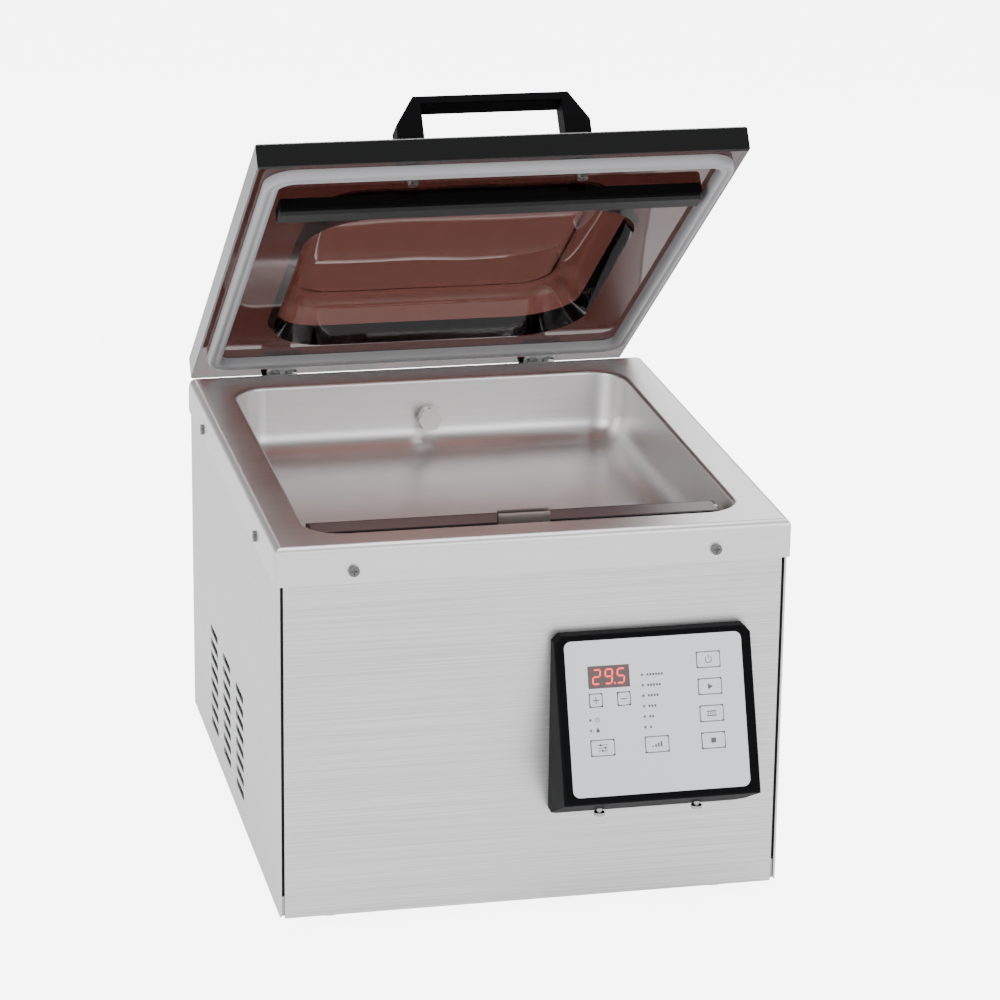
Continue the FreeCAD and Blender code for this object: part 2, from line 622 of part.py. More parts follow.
# --------------------------------------------------------------------------------------------
# Control box: a wedge of black plastic with a foil keypad on its sloping face
# --------------------------------------------------------------------------------------------
def make_control_housing():
    body = body_of("Housing")
    outline = sketch_on(body, "XZ_Plane", "-casing_front")
    left, right = "box_middle - box_width / 2", "box_middle + box_width / 2"
    c = "box_corner"
    polygon(outline, [
        (left + " + " + c, "box_low"), (right + " - " + c, "box_low"),
        (right, "box_low + " + c), (right, "box_high - " + c),
        (right + " - " + c, "box_high"), (left + " + " + c, "box_high"),
        (left, "box_high - " + c), (left, "box_low + " + c)])
    pad(body, outline, "box_bottom_depth + 5")
    face = sketch_on(body, "YZ_Plane", "box_middle", "Face")
    y_top, y_low = "casing_front - box_top_depth", "casing_front - box_bottom_depth"
    polygon(face, [
        (y_top, "box_high"), (y_top, "box_high + 20"), (y_low + " - 20", "box_high + 20"),
        (y_low + " - 20", "box_low - 20"), ("casing_front", "box_low - 20"),
        ("casing_front", "box_low"), (y_low, "box_low + box_chin")])
    pocket(body, face, "box_width + 2", middle=True)
    face_top = number(y_top) + 0.01

    def front_edge(edge):
        reach = edge.BoundBox
        slanted = reach.ZLength > 80 and reach.YLength > 30
        across = reach.XLength > 100 and reach.YMax < face_top
        return slanted or across
    dress(body, "Fillet", "box_edge", front_edge)
    inner = body_of("HousingHollow")
    room = sketch_on(inner, "YZ_Plane", "box_middle")
    lean = "box_wall / cos(box_tilt)"
    polygon(room, [("casing_front + 1", "box_low + 4"), ("casing_front + 1", "box_high - box_wall"),
                   (y_top + " + " + lean, "box_high - box_wall"),
                   (y_low + " + " + lean + " + 1.5", "box_low + box_chin + 1.5"),
                   ("casing_front", "box_low + 4")])
    pad(inner, room, "box_width - 2 * box_wall", middle=True)
    tools = [inner, face_box("PlateRecess", "0", "0", "-plate_recess", "plate_width + 2 * clearance",
                             "plate_height + 2 * clearance", "5")]
    for x, y, width, height in key_places().values():
        tools.append(face_box("KeyHole", x, y, "-box_wall * 2", "%s + 2 * clearance" % width,
                              "%s + 2 * clearance" % height, "box_wall * 3"))
    tools.append(face_box("WindowHole", "window_x", "window_y", "-box_wall * 2", "window_width - 1",
                          "window_height - 1", "box_wall * 3"))
    for x, y in led_places():
        tools.append(face_rod("LedHole", x, y, "-box_wall * 2", "led_radius + 0.1", "box_wall * 3"))
    for side in (-1, 1):
        tools.append(rod("HousingBore", "z", "box_middle + %d * box_screw_spread" % side,
                         "casing_front - chin_screw_y", "box_low - 2", "screw_radius + screw_fit", "14"))
    node("control_housing", cut("ControlHousing", body, *tools))


def on_face(x, y, z):
    """The placement of a point given on the sloping face: x across, y up the slope, z outward."""
    return (
        "placement(vector(box_middle + plate_shift + (%s);"
        " casing_front - box_top_depth - (face_drop - (%s)) * sin(box_tilt) - (%s) * cos(box_tilt);"
        " box_high - (face_drop - (%s)) * cos(box_tilt) + (%s) * sin(box_tilt));"
        " rotation(vector(1; 0; 0); 90 - box_tilt))" % (x, y, z, y, z)
    )


def face_box(name, x, y, z, width, height, depth):
    """A box centred on (x, y) of the sloping face, rising from z."""
    item = bind(doc.addObject("Part::Box", name), Length=width, Width=height, Height=depth)
    corner = ("%s - (%s) / 2" % (x, width), "%s - (%s) / 2" % (y, height), z)
    item.setExpression("Placement", formula(on_face(*corner)))
    return item


def face_rod(name, x, y, z, radius, depth):
    item = bind(doc.addObject("Part::Cylinder", name), Radius=radius, Height=depth)
    item.setExpression("Placement", formula(on_face(x, y, z)))
    return item


def key_places():
    """Each key's middle and size on the face, counted from the plate's middle."""
    places = {}
    for row, name in enumerate(("power", "start", "seal", "stop")):
        places[name] = ("key_column", "key_first - %d * key_pitch" % row, "key_width", "key_height")
    low = "key_first - 3 * key_pitch"
    places["function"] = ("-function_key", low, "key_width", "key_height")
    places["vacuum_level"] = ("-degree_key", low, "key_width", "key_height")
    places["plus"] = ("-adjust_key", "adjust_row", "small_key", "small_key")
    places["minus"] = ("adjust_pitch - adjust_key", "adjust_row", "small_key", "small_key")
    return places


def led_places():
    places = [("level_led_x", "level_led_y - %d * led_pitch" % i) for i in range(6)]
    places += [("time_led_x", "level_led_y - %d * led_pitch" % i) for i in (4, 5)]
    return places


def make_keypad():
    body = body_of("Foil")
    outline = sketch_on(body, "XY_Plane")
    rounded(outline, "-plate_width / 2", "-plate_height / 2", "plate_width / 2", "plate_height / 2",
            "plate_corner")
    pad(body, outline, "plate_thickness")
    body.setExpression("Placement", formula(on_face("0", "0", "-plate_recess")))
    tools = [
        face_box("KeyWindow", x, y, "-2", "%s + 2 * key_play" % width, "%s + 2 * key_play" % height, "5")
        for x, y, width, height in key_places().values()
    ]
    tools.append(face_box("DisplayWindow", "window_x", "window_y", "-2", "window_width",
                          "window_height", "5"))
    tools += [face_rod("LedWindow", x, y, "-2", "led_radius + 0.1", "5") for x, y in led_places()]
    node("keypad_overlay", cut("KeypadOverlay", body, *tools))
    window = joined(
        "DisplayBlock",
        face_box("Pane", "window_x", "window_y", "-plate_recess + 0.05", "window_width - 0.2",
                 "window_height - 0.2", "plate_thickness - 0.1"),
        face_box("Digits", "window_x", "window_y", "-board_depth", "window_width - 1.6",
                 "window_height - 1.6", "board_depth"),
    )
    node("display_module", window)
    leds = [face_rod("Led", x, y, "-board_depth", "led_radius", "board_depth + 0.3") for x, y in led_places()]
    node("indicator_leds", group("IndicatorLeds", *leds))
    board = face_box("ControlBoard", "0", "-board_drop", "-board_depth - board_thickness", "board_width",
                     "board_height", "board_thickness")
    node("control_board", board)
    switches = []
    for x, y, width, height in key_places().values():
        switches.append(joined(
            "Tact",
            face_box("TactBody", x, y, "-board_depth", "tact_size", "tact_size", "tact_height"),
            face_rod("TactButton", x, y, "-board_depth", "tact_radius", "tact_height + tact_button"),
        ))
    node("tact_switches", group("TactSwitches", *switches))
    for name, (x, y, width, height) in key_places().items():
        cap = body_of("Key")
        outline = sketch_on(cap, "XY_Plane")
        rounded(outline, "-(%s) / 2" % width, "-(%s) / 2" % height, "(%s) / 2" % width, "(%s) / 2" % height,
                "key_corner")
        pad(cap, outline, "plate_thickness + key_proud")
        cap.setExpression("Placement", formula(on_face(x, y, "-plate_recess")))
        stem = face_rod("KeyStem", x, y, "-board_depth + tact_height + tact_button + 0.6", "stem_radius",
                        "board_depth - tact_height - tact_button - 0.6")
        node("key_" + name, joined("KeyCap", cap, stem))


# --------------------------------------------------------------------------------------------
# Lid, drawn shut
# --------------------------------------------------------------------------------------------
def make_lid():
    blank = box("LidBlank", "-lid_width / 2", "lid_front", "lid_under", "lid_width", "lid_length",
                "lid_thickness")
    dome = dome_block("DomeOutside", "lid_top - 1", "dome_rise + 1", "0")
    hollow = dome_block("DomeHollow", "lid_under - 1", "lid_thickness + dome_rise - dome_wall + 1", "4")
    shell = cut("LidShell", joined("LidForm", blank, dome), hollow)
    doc.recompute()
    edge = number("lid_edge")
    half, front, rear = number("lid_width / 2"), number("lid_front"), number("lid_back")
    lip = doc.addObject("Part::Chamfer", "LidEdges")
    lip.Base = shell

    def outer(item):
        middle = item.CenterOfMass
        on_side = abs(abs(middle.x) - half) < 0.1
        on_end = min(abs(middle.y - front), abs(middle.y - rear)) < 0.1
        return item.BoundBox.DiagonalLength > 300 and (on_side or on_end)
    lip.Edges = [(i, edge, edge) for i, item in enumerate(shell.Shape.Edges, 1) if outer(item)]
    tools = [ring_box("Groove", "-0.2", "lid_under - 1", "gasket_groove + 1")]
    for side in (-1, 1):
        tools.append(rod("HandleHole", "z", "%d * handle_screw_x" % side, "lid_front + handle_screw_y",
                         "lid_under - 1", "screw_radius + 0.1", "lid_thickness + 2"))
        for spread in (-1, 1):
            x = "%d * hinge_x + %d * bolt_spread" % (side, spread)
            tools.append(rod("BoltHole", "z", x, "lid_back - bolt_inset", "lid_under - 1", "bolt_radius + 0.1",
                             "lid_thickness + 2"))
    node("lid_panel", cut("LidPanel", lip, *tools), SHUT_TO_OPEN)
    node("lid_gasket", ring_box("Gasket", "0", "rim_top + clearance", "lid_gap + gasket_groove - clearance"),
         SHUT_TO_OPEN)


def dome_block(name, start, height, inset):
    body = body_of(name)
    outline = sketch_on(body, "XY_Plane", start)
    rounded(outline, "-dome_half + %s" % inset, "lid_front + dome_front + %s" % inset,
            "dome_half - %s" % inset, "lid_front + dome_back - %s" % inset, "dome_corner - %s" % inset)
    pad(body, outline, height, taper="-dome_draft")
    top = number("%s + %s" % (start, height))
    dress(body, "Fillet", "dome_bend", level(top))
    return body


def ring_box(name, grow, start, height):
    """The gasket's frame, or the groove that holds it when grow is negative."""
    rings = []
    for inner, step in (("0", "(%s)" % grow), ("gasket_width", "-(%s)" % grow)):
        body = body_of(name + "Edge")
        outline = sketch_on(body, "XY_Plane", start)
        inset = "%s + %s" % (inner, step)
        rounded(outline, "-gasket_half + %s" % inset, "lid_front + gasket_front + %s" % inset,
                "gasket_half - (%s)" % inset, "lid_front + gasket_back - (%s)" % inset,
                "gasket_corner - (%s)" % inset)
        pad(body, outline, height)
        rings.append(body)
    return cut(name, *rings)


def make_counter_bar():
    top = "lid_under - counter_height"
    holder = box("Holder", "-counter_half", "lid_front + counter_front", top, "2 * counter_half",
                 "counter_width", "counter_height")
    strip_y = "bar_y - strip_width / 2"
    groove = box("StripGroove", "-counter_half - 1", strip_y, top + " - 1", "2 * counter_half + 2",
                 "strip_width", "strip_sunk + 1")
    notches = [box("Notch", "%d * handle_screw_x - 6" % side, "lid_front + counter_front - 1",
                   "lid_under - 3", "12", "4", "4") for side in (-1, 1)]
    node("counter_bar", cut("CounterBar", holder, groove, *notches), SHUT_TO_OPEN)
    strip = box("CounterStrip", "-counter_half", strip_y, top + " + strip_sunk - strip_height",
                "2 * counter_half", "strip_width", "strip_height")
    node("counter_strip", group("StripInHolder", strip), SHUT_TO_OPEN)


def make_handle():
    body = body_of("Handle")
    outline = sketch_on(body, "XZ_Plane", "-(lid_front + handle_front)")
    shape = [("-handle_half", "lid_top"), ("-handle_inner", "lid_top"),
             ("-handle_inner", "lid_top + handle_height - handle_bar"),
             ("handle_inner", "lid_top + handle_height - handle_bar"), ("handle_inner", "lid_top"),
             ("handle_half", "lid_top"), ("handle_half", "lid_top + handle_shoulder"),
             ("handle_top_half", "lid_top + handle_height"), ("-handle_top_half", "lid_top + handle_height"),
             ("-handle_half", "lid_top + handle_shoulder")]
    polygon(outline, shape)
    pad(body, outline, "handle_depth", back=True)
    front = number("lid_front + handle_front")
    back = number("lid_front + handle_front + handle_depth")
    foot = number("lid_top") + 1

    def outline_edge(edge):
        on_face = min(abs(edge.CenterOfMass.y - front), abs(edge.CenterOfMass.y - back)) < 0.01
        return on_face and edge.BoundBox.YLength < 0.01 and edge.BoundBox.ZMax > foot
    dress(body, "Fillet", "handle_edge", outline_edge)
    bores = [rod("HandleBore", "z", "%d * handle_screw_x" % side, "lid_front + handle_screw_y", "lid_top - 1",
                 "screw_radius", "16") for side in (-1, 1)]
    node("lid_handle", cut("LidHandle", body, *bores), SHUT_TO_OPEN)
    screws = [screw("%d * handle_screw_x" % side, "lid_front + handle_screw_y", "lid_under", "z", -1,
                    "lid_thickness + 12") for side in (-1, 1)]
    node("handle_screws", group("HandleScrews", *screws), SHUT_TO_OPEN)


def hinge_arm(middle, bolt_places):
    """A goose-neck: a block under the lid, a leg down behind the casing and a hub on the shaft."""
    body = body_of("Arm")
    outline = sketch_on(body, "YZ_Plane", middle)
    block = "lid_back - arm_under"
    high = "hinge_z + arm_thickness / 2"
    low = "hinge_z - arm_thickness / 2"
    polygon(outline, [
        (block, "lid_under"), (block, "rim_top + clearance"), ("leg_inner", "rim_top + clearance"),
        ("leg_inner", high), ("hinge_y", high), ("hinge_y", low), ("leg_outer", low),
        ("leg_outer", "lid_under")])
    pad(body, outline, "arm_width", middle=True)
    left = middle + " - arm_width / 2"
    leaf = box("Leaf", left, "lid_back - plate_under", "lid_under - 3", "arm_width", "plate_under", "3")
    hub = rod("Hub", "x", left, "hinge_y", "hinge_z", "hub_radius", "arm_width")
    bore = rod("HubBore", "x", left + " - 1", "hinge_y", "hinge_z", "shaft_radius + 0.01", "arm_width + 2")
    holes = [rod("LeafHole", "z", x, y, "lid_under - 10", "bolt_radius + 0.1", "12") for x, y in bolt_places]
    return cut("HingeArm", joined("ArmForm", body, leaf, hub), bore, *holes)


def hinge_plate(middle, bolt_places):
    blank = box("PlateBlank", middle + " - plate_half", "lid_back - plate_under", "lid_top", "2 * plate_half",
                "plate_under - 1.5", "top_plate")
    holes = [rod("PlateHole", "z", x, y, "lid_top - 1", "bolt_radius + 0.1", "top_plate + 2")
             for x, y in bolt_places]
    return cut("TopPlate", blank, *holes)


def hinge_bolt(x, y):
    """A bolt with its head on the top plate and its nut under the arm's leaf."""
    shank = rod("BoltShank", "z", x, y, "lid_under - 3", "bolt_radius", "lid_thickness + top_plate + 3")
    head = rod("BoltHead", "z", x, y, "lid_top + top_plate", "bolt_head", "3")
    nut = rod("BoltNut", "z", x, y, "lid_under - 5.5", "bolt_head", "2.5")
    return joined("Bolt", shank, head, nut)


def make_hinges():
    arms, plates, bolts, bushes = [], [], [], []
    for side in (-1, 1):
        middle = "%d * hinge_x" % side
        bolt_places = [("%s + %d * bolt_spread" % (middle, spread), "lid_back - bolt_inset")
                       for spread in (-1, 1)]
        arms.append(hinge_arm(middle, bolt_places))
        plates.append(hinge_plate(middle, bolt_places))
        bolts += [hinge_bolt(x, y) for x, y in bolt_places]
        start = middle + " - arm_width / 2 - bush_width"
        ring = rod("BushBody", "x", start, "lid_back - 5", "rim_top + 4.5", "bush_radius", "bush_width")
        bore = rod("BushBore", "x", start + " - 1", "lid_back - 5", "rim_top + 4.5", "bush_bore",
                   "bush_width + 2")
        bushes.append(cut("Bush", ring, bore))
    node("hinge_arms", group("HingeArms", *arms), SHUT_TO_OPEN)
    node("hinge_top_plates", group("HingeTopPlates", *plates), SHUT_TO_OPEN)
    node("hinge_bolts", group("HingeBolts", *bolts), SHUT_TO_OPEN)
    node("hinge_bushes", group("HingeBushes", *bushes), SHUT_TO_OPEN)


def make_shaft():
    """The shaft turns with the lid in two bearing blocks bolted inside the rear panel."""
    bearings = []
    for side in (-1, 1):
        middle = "%d * (shaft_end - bearing_width / 2)" % side
        block = box("BearingBlank", middle + " - bearing_width / 2", "hinge_y - bearing_half",
                    "hinge_z - bearing_half", "bearing_width",
                    "casing_back - sheet - hinge_y + bearing_half", "2 * bearing_half")
        seat = rod("BearingBore", "x", middle + " - bearing_width", "hinge_y", "hinge_z",
                   "shaft_radius + running_play", "2 * bearing_width")
        bearings.append(cut("Bearing", block, seat))
    node("hinge_bearings", group("HingeBearings", *bearings))
    node("lid_springs", group("LidSprings", *[spring(side) for side in (-1, 1)]))
    shaft = rod("HingeShaft", "x", "-shaft_end", "hinge_y", "hinge_z", "shaft_radius", "2 * shaft_end")
    node("hinge_shaft", shaft)


def spring(side):
    """A torsion spring round the shaft: its coil is swept along a helix."""
    wire, radius, turns = number("spring_wire"), number("spring_radius"), number("spring_turns")
    pitch = wire + 0.3
    helix = Part.makeHelix(pitch, pitch * turns, radius)
    profile = Part.Wire(Part.makeCircle(wire / 2, Vector(radius, 0, 0), Vector(0, 1, 0)))
    coil = Part.Wire(helix.Edges).makePipeShell([profile], True, True)
    item = doc.addObject("Part::Feature", "Spring")
    item.Shape = coil
    item.Placement = FreeCAD.Placement(Vector(), TURNS["x"])
    place(item, "%d * spring_x - spring_turns * spring_wire / 2" % side, "hinge_y", "hinge_z")
    return item


# --------------------------------------------------------------------------------------------
# Inside the chamber
# --------------------------------------------------------------------------------------------
def make_nozzle():
    y0 = "nozzle_wall - cap_standoff"
    bend_y = "nozzle_wall + nozzle_bend"
    pipe = rod("NozzlePipe", "y", "0", y0, "nozzle_z", "nozzle_radius", "cap_standoff + nozzle_bend")
    elbow = box("NozzleElbow", "-nozzle_radius - 1", "nozzle_wall + 1 + sheet",
                "nozzle_z - nozzle_radius - 1", "2 * nozzle_radius + 2", "nozzle_bend + nozzle_radius - 1",
                "2 * nozzle_radius + 2")
    drop = rod("NozzleDrop", "z", "0", bend_y, "nozzle_z - nozzle_fall - nozzle_radius", "nozzle_radius",
               "nozzle_fall + nozzle_radius")
    bore = rod("NozzleBore", "y", "0", y0 + " - 1", "nozzle_z", "nozzle_bore",
               "cap_standoff + nozzle_bend + 1")
    fall = rod("NozzleFall", "z", "0", bend_y, "nozzle_z - nozzle_fall - nozzle_radius - 1", "nozzle_bore",
               "nozzle_fall + nozzle_radius + 1")
    node("suction_nozzle", cut("SuctionNozzle", joined("NozzleForm", pipe, elbow, drop), bore, fall))
    cap = doc.addObject("Part::Prism", "CapForm")
    cap.Polygon = 6
    bind(cap, Circumradius="cap_flats / 2 / cos(30)", Height="cap_length")
    cap.Placement = FreeCAD.Placement(Vector(), TURNS["y"])
    place(cap, "0", y0 + " - cap_length", "nozzle_z")
    vent_y = y0 + " - cap_length / 2"
    bore = rod("CapBore", "y", "0", vent_y + " - 2", "nozzle_z", "nozzle_bore", "cap_length")
    vents = [rod("CapVentAcross", "x", "-cap_flats", vent_y, "nozzle_z", "cap_vent", "2 * cap_flats"),
             rod("CapVentUp", "z", "0", vent_y, "nozzle_z - cap_flats", "cap_vent", "2 * cap_flats")]
    node("suction_cap", cut("SuctionCap", cap, bore, *vents))


def make_clip():
    body = body_of("Clip")
    outline = sketch_on(body, "YZ_Plane")
    t = "clip_leaf"
    y = "rim_front + clip_y"
    floor = "rim_top - clip_fall"
    top = "rim_top + clip_rise"
    wall = "chamber_front + (clip_fall + 10) * wall_slope + clearance"
    polygon(outline, [
        (wall, floor + " - 10"), (wall + " + " + t, floor + " - 10"), (wall + " + " + t, floor),
        (y + " + clip_mouth", floor), (y + " + clip_mouth", top + " + 1"),
        (y + " + clip_mouth - " + t, top + " + 1"), (y + " + clip_mouth - " + t, floor + " + " + t),
        (y + " + " + t, floor + " + " + t), (y + " + " + t, top), (y, top), (y, floor + " + " + t),
        (wall, floor + " + " + t)])
    pad(body, outline, "clip_width", middle=True)
    node("bag_clip", body)


def make_seal_bar():
    y = "bar_y - bar_width / 2"
    base = box("BarBlank", "-bar_half", y, "bar_under", "2 * bar_half", "bar_width", "bar_height")
    slot = box("BandSlot", "-bar_half - 1", "bar_y - band_width / 2 - 0.1", "bar_top - band_height",
               "2 * bar_half + 2", "band_width + 0.2", "band_height + 1")
    sockets = [rod("RodSocket", "z", "%d * lift_x" % side, "bar_y", "bar_under - 1", "rod_radius + 0.01", "7.1")
               for side in (-1, 1)]
    node("seal_bar", cut("SealBar", base, slot, *sockets))
    node("heating_band", box("HeatingBand", "-bar_half", "bar_y - band_width / 2", "bar_top - band_height",
                             "2 * bar_half", "band_width", "band_height"))
    node("sealing_tape", box("SealingTape", "-bar_half + 2", "bar_y - tape_width / 2", "bar_top",
                             "2 * bar_half - 4", "tape_width", "tape_height"))
    rods, cylinders = [], []
    for side in (-1, 1):
        x = "%d * lift_x" % side
        rods.append(rod("LiftRod", "z", x, "bar_y", "chamber_floor - rod_reach", "rod_radius",
                        "bar_under + 6 - chamber_floor + rod_reach"))
        shell = rod("LiftShell", "z", x, "bar_y", "chamber_floor - lift_length", "lift_radius",
                    "lift_length - sheet - clearance")
        bore = rod("LiftBore", "z", x, "bar_y", "chamber_floor - lift_length + 4",
                   "rod_radius + running_play + 0.02", "lift_length")
        cylinders.append(cut("LiftCylinder", shell, bore))
    node("lift_rods", group("LiftRods", *rods))
    node("lift_cylinders", group("LiftCylinders", *cylinders))


# --------------------------------------------------------------------------------------------
# Inside the casing
# --------------------------------------------------------------------------------------------
def motor_rod(name, start, radius, length):
    """A cylinder on the motor's axis, counted from the motor's near end."""
    return rod(name, "x", "motor_start + " + start, "motor_y", "motor_z", radius, length)


def make_pump():
    mounts = [rod("PumpMount", "z", x, y, "tray_top", "mount_radius", "mount_height")
              for x in ("pump_x + 15", "motor_start + motor_length - 15")
              for y in ("pump_y + 15", "pump_y + pump_width - 15")]
    node("pump_mounts", group("PumpMounts", *mounts))
    node("pump_bracket", box("PumpBracket", "pump_x", "pump_y", "tray_top + mount_height",
                             "pump_length + motor_length", "pump_width", "pad_plate"))
    block = box("PumpBlock", "pump_x", "pump_y", "pad_top", "pump_length", "pump_width", "pump_height")
    doc.recompute()
    soft = doc.addObject("Part::Fillet", "PumpForm")
    soft.Base = block
    radius = number("pump_soft")
    soft.Edges = [(i, radius, radius) for i, edge in enumerate(block.Shape.Edges, 1)
                  if edge.BoundBox.ZLength > 10]
    seat = motor_rod("PumpSeat", "-shaft_reach - 10", "motor_shaft + clearance", "shaft_reach + 15")
    port = rod("PumpPort", "z", "hose_x", "hose_y", "pad_top + pump_height - port_depth", "hose_bore",
               "port_depth + 5")
    node("vacuum_pump", cut("VacuumPump", soft, seat, port))
    foot = box("MotorFoot", "motor_start", "motor_y - motor_radius / 2", "pad_top", "motor_length",
               "motor_radius", "20")
    shell = motor_rod("MotorShell", "0", "motor_radius", "motor_length")
    hollow = motor_rod("MotorHollow", "motor_wall", "motor_core + motor_gap",
                       "motor_length - 2 * motor_wall")
    through = motor_rod("MotorThrough", "-1", "motor_shaft + running_play", "motor_length + 2")
    node("pump_motor", cut("PumpMotor", joined("MotorForm", shell, foot), hollow, through))
    end = "motor_start + motor_length"
    core = motor_rod("RotorCore", "2 * motor_wall", "motor_core", "motor_length - 4 * motor_wall")
    shaft = motor_rod("RotorShaft", "-shaft_reach", "motor_shaft", "motor_length + shaft_reach + 20")
    hub = motor_rod("FanHub", "motor_length + 4", "fan_hub", "fan_length")
    blades = []
    count = int(number("fan_blades"))
    for i in range(count):
        blade = bind(doc.addObject("Part::Box", "Blade"), Length="fan_length", Width="2",
                     Height="fan_radius - fan_hub + 4")
        blade.setExpression("Placement", formula(
            "placement(vector(%s + 4; motor_y; motor_z); rotation(vector(1; 0; 0); %d * 360 / fan_blades))"
            " * placement(vector(0; -1; fan_hub - 4); rotation(vector(0; 0; 1); 0))" % (end, i)))
        blades.append(blade)
    node("pump_rotor", joined("PumpRotor", core, shaft, hub, *blades))
    outer = motor_rod("CowlOuter", "motor_length", "motor_radius", "cowl_length")
    inner = motor_rod("CowlInner", "motor_length - 1", "motor_radius - cowl_wall",
                      "cowl_length - cowl_wall + 1")
    slots = [box("CowlSlot", end + " + cowl_length - cowl_wall - 1", "motor_y - motor_radius + 14",
                 "motor_z - 36 + %d * 12" % i, "cowl_wall + 2", "2 * motor_radius - 28", "5")
             for i in range(7)]
    node("fan_cowl", cut("FanCowl", outer, inner, *slots))


def make_hose():
    """The hose is straight runs with tangent arcs, swept by its section."""
    y = number("nozzle_wall + nozzle_bend")
    stops = [(0, y, number("nozzle_z - nozzle_fall - nozzle_radius") + 8), (0, y, number("hose_low")),
             (number("hose_x"), number("hose_y"), number("hose_low")),
             (number("hose_x"), number("hose_y"), number("pad_top + pump_height"))]
    stops = [Vector(*stop) for stop in stops]
    turn = number("hose_turn") / 2
    edges, start = [], stops[0]
    for before, corner, after in zip(stops, stops[1:], stops[2:]):
        into, out = (corner - before).normalize(), (after - corner).normalize()
        begin, end = corner - into * turn, corner + out * turn
        middle = corner + (out - into).normalize() * turn * (2 ** 0.5 - 1)
        edges += [Part.makeLine(start, begin), Part.Arc(begin, middle, end).toShape()]
        start = end
    edges.append(Part.makeLine(start, stops[-1]))
    path = Part.Wire(edges)
    tubes = []
    for radius in (number("hose_radius"), number("nozzle_radius")):
        circle = Part.Wire(Part.makeCircle(radius, stops[0], Vector(0, 0, 1)))
        tubes.append(path.makePipeShell([circle], True, False))
    item = doc.addObject("Part::Feature", "VacuumHose")
    item.Shape = tubes[0].cut(tubes[1])
    node("vacuum_hose", item)


def make_electrics():
    core = box("CoreBlank", "trafo_x", "trafo_y", "tray_top", "trafo_width", "trafo_depth", "trafo_height")
    window = "(trafo_depth - 2 * trafo_leg - trafo_pole) / 2"
    windows = [box("CoreWindow", "trafo_x - 1", "trafo_y + trafo_leg + %s" % shift, "tray_top + trafo_leg",
                   "trafo_width + 2", window, "trafo_height - 2 * trafo_leg")
               for shift in ("0", window + " + trafo_pole")]
    node("transformer_core", cut("TransformerCore", core, *windows))
    coil = box("CoilBlank", "trafo_x - coil_proud", "trafo_y + trafo_leg + 1", "tray_top + trafo_leg + 1",
               "trafo_width + 2 * coil_proud", "trafo_depth - 2 * trafo_leg - 2",
               "trafo_height - 2 * trafo_leg - 2")
    pole = box("CoilPole", "trafo_x - clearance", "trafo_y + trafo_leg + %s - clearance" % window,
               "tray_top", "trafo_width + 2 * clearance", "trafo_pole + 2 * clearance", "trafo_height")
    node("transformer_coil", cut("TransformerCoil", coil, pole))
    block = box("ValveBlock", "valve_x", "valve_y", "chamber_floor - sheet - valve_height", "valve_size",
                "valve_size", "valve_height")
    port = rod("ValvePort", "x", "valve_x + valve_size", "valve_y + valve_size / 2",
               "chamber_floor - valve_height + 10", "nozzle_bore", "14")
    node("vent_valve", joined("VentValve", block, port))


def make_inlet():
    body = box("InletBody", "inlet_x - inlet_body / 2", "casing_back - inlet_depth",
               "inlet_z - inlet_body_height / 2", "inlet_body", "inlet_depth + inlet_flange",
               "inlet_body_height")
    flange = box("InletFlange", "inlet_x - inlet_width / 2", "casing_back", "inlet_z - inlet_height / 2",
                 "inlet_width", "inlet_flange", "inlet_height")
    cavity = box("InletCavity", "inlet_x - inlet_cavity_width / 2",
                 "casing_back + inlet_flange - inlet_cavity", "inlet_z - inlet_cavity_height / 2",
                 "inlet_cavity_width", "inlet_cavity + 1", "inlet_cavity_height")
    slots, pins = [], []
    floor = "casing_back + inlet_flange - inlet_cavity"
    for i, drop in ((-1, "-2"), (0, "2"), (1, "-2")):
        corner = ("inlet_x + %d * pin_pitch - pin_thickness / 2" % i, floor + " - 5",
                  "inlet_z + %s - pin_width / 2" % drop)
        pins.append(box("InletPin", *corner, "pin_thickness", "pin_length + 5", "pin_width"))
        slots.append(box("PinSlot", *corner, "pin_thickness", "6", "pin_width"))
    holes = [rod("EarHole", "y", "inlet_x + %d * ear_pitch" % side, "casing_back - 1", "inlet_z",
                 "screw_radius + screw_fit", "inlet_flange + 2") for side in (-1, 1)]
    node("power_inlet", cut("PowerInlet", joined("InletForm", body, flange), cavity, *slots, *holes))
    node("inlet_pins", group("InletPins", *pins))


def make_lid_switch():
    """A microswitch on the rear panel with its lever just over the right hinge arm's hub."""
    y = "casing_back - sheet - switch_size"
    z = "hinge_z + hub_radius + lever_gap"
    body = box("SwitchBody", "hinge_x - switch_width / 2", y, z + " + 2", "switch_width", "switch_size",
               "switch_size")
    lever = box("SwitchLever", "hinge_x - lever_width / 2", y + " - 2", z, "lever_width", "switch_size",
                "lever_thickness")
    button = rod("SwitchButton", "z", "hinge_x", y + " + 4", z, "1.5", "3")
    node("lid_switch", joined("LidSwitch", body, lever, button))


for make in (make_front_panel, make_rear_panel, make_base_tray, make_feet, make_posts, make_chamber_top,
             make_screws, make_control_housing, make_keypad, make_lid, make_counter_bar, make_handle,
             make_hinges, make_shaft, make_nozzle, make_clip, make_seal_bar, make_pump, make_hose, make_electrics,
             make_inlet, make_lid_switch):
    make()
make_side_panel("left_side_panel", "LeftPanel", -1)
make_side_panel("right_side_panel", "RightPanel", 1)

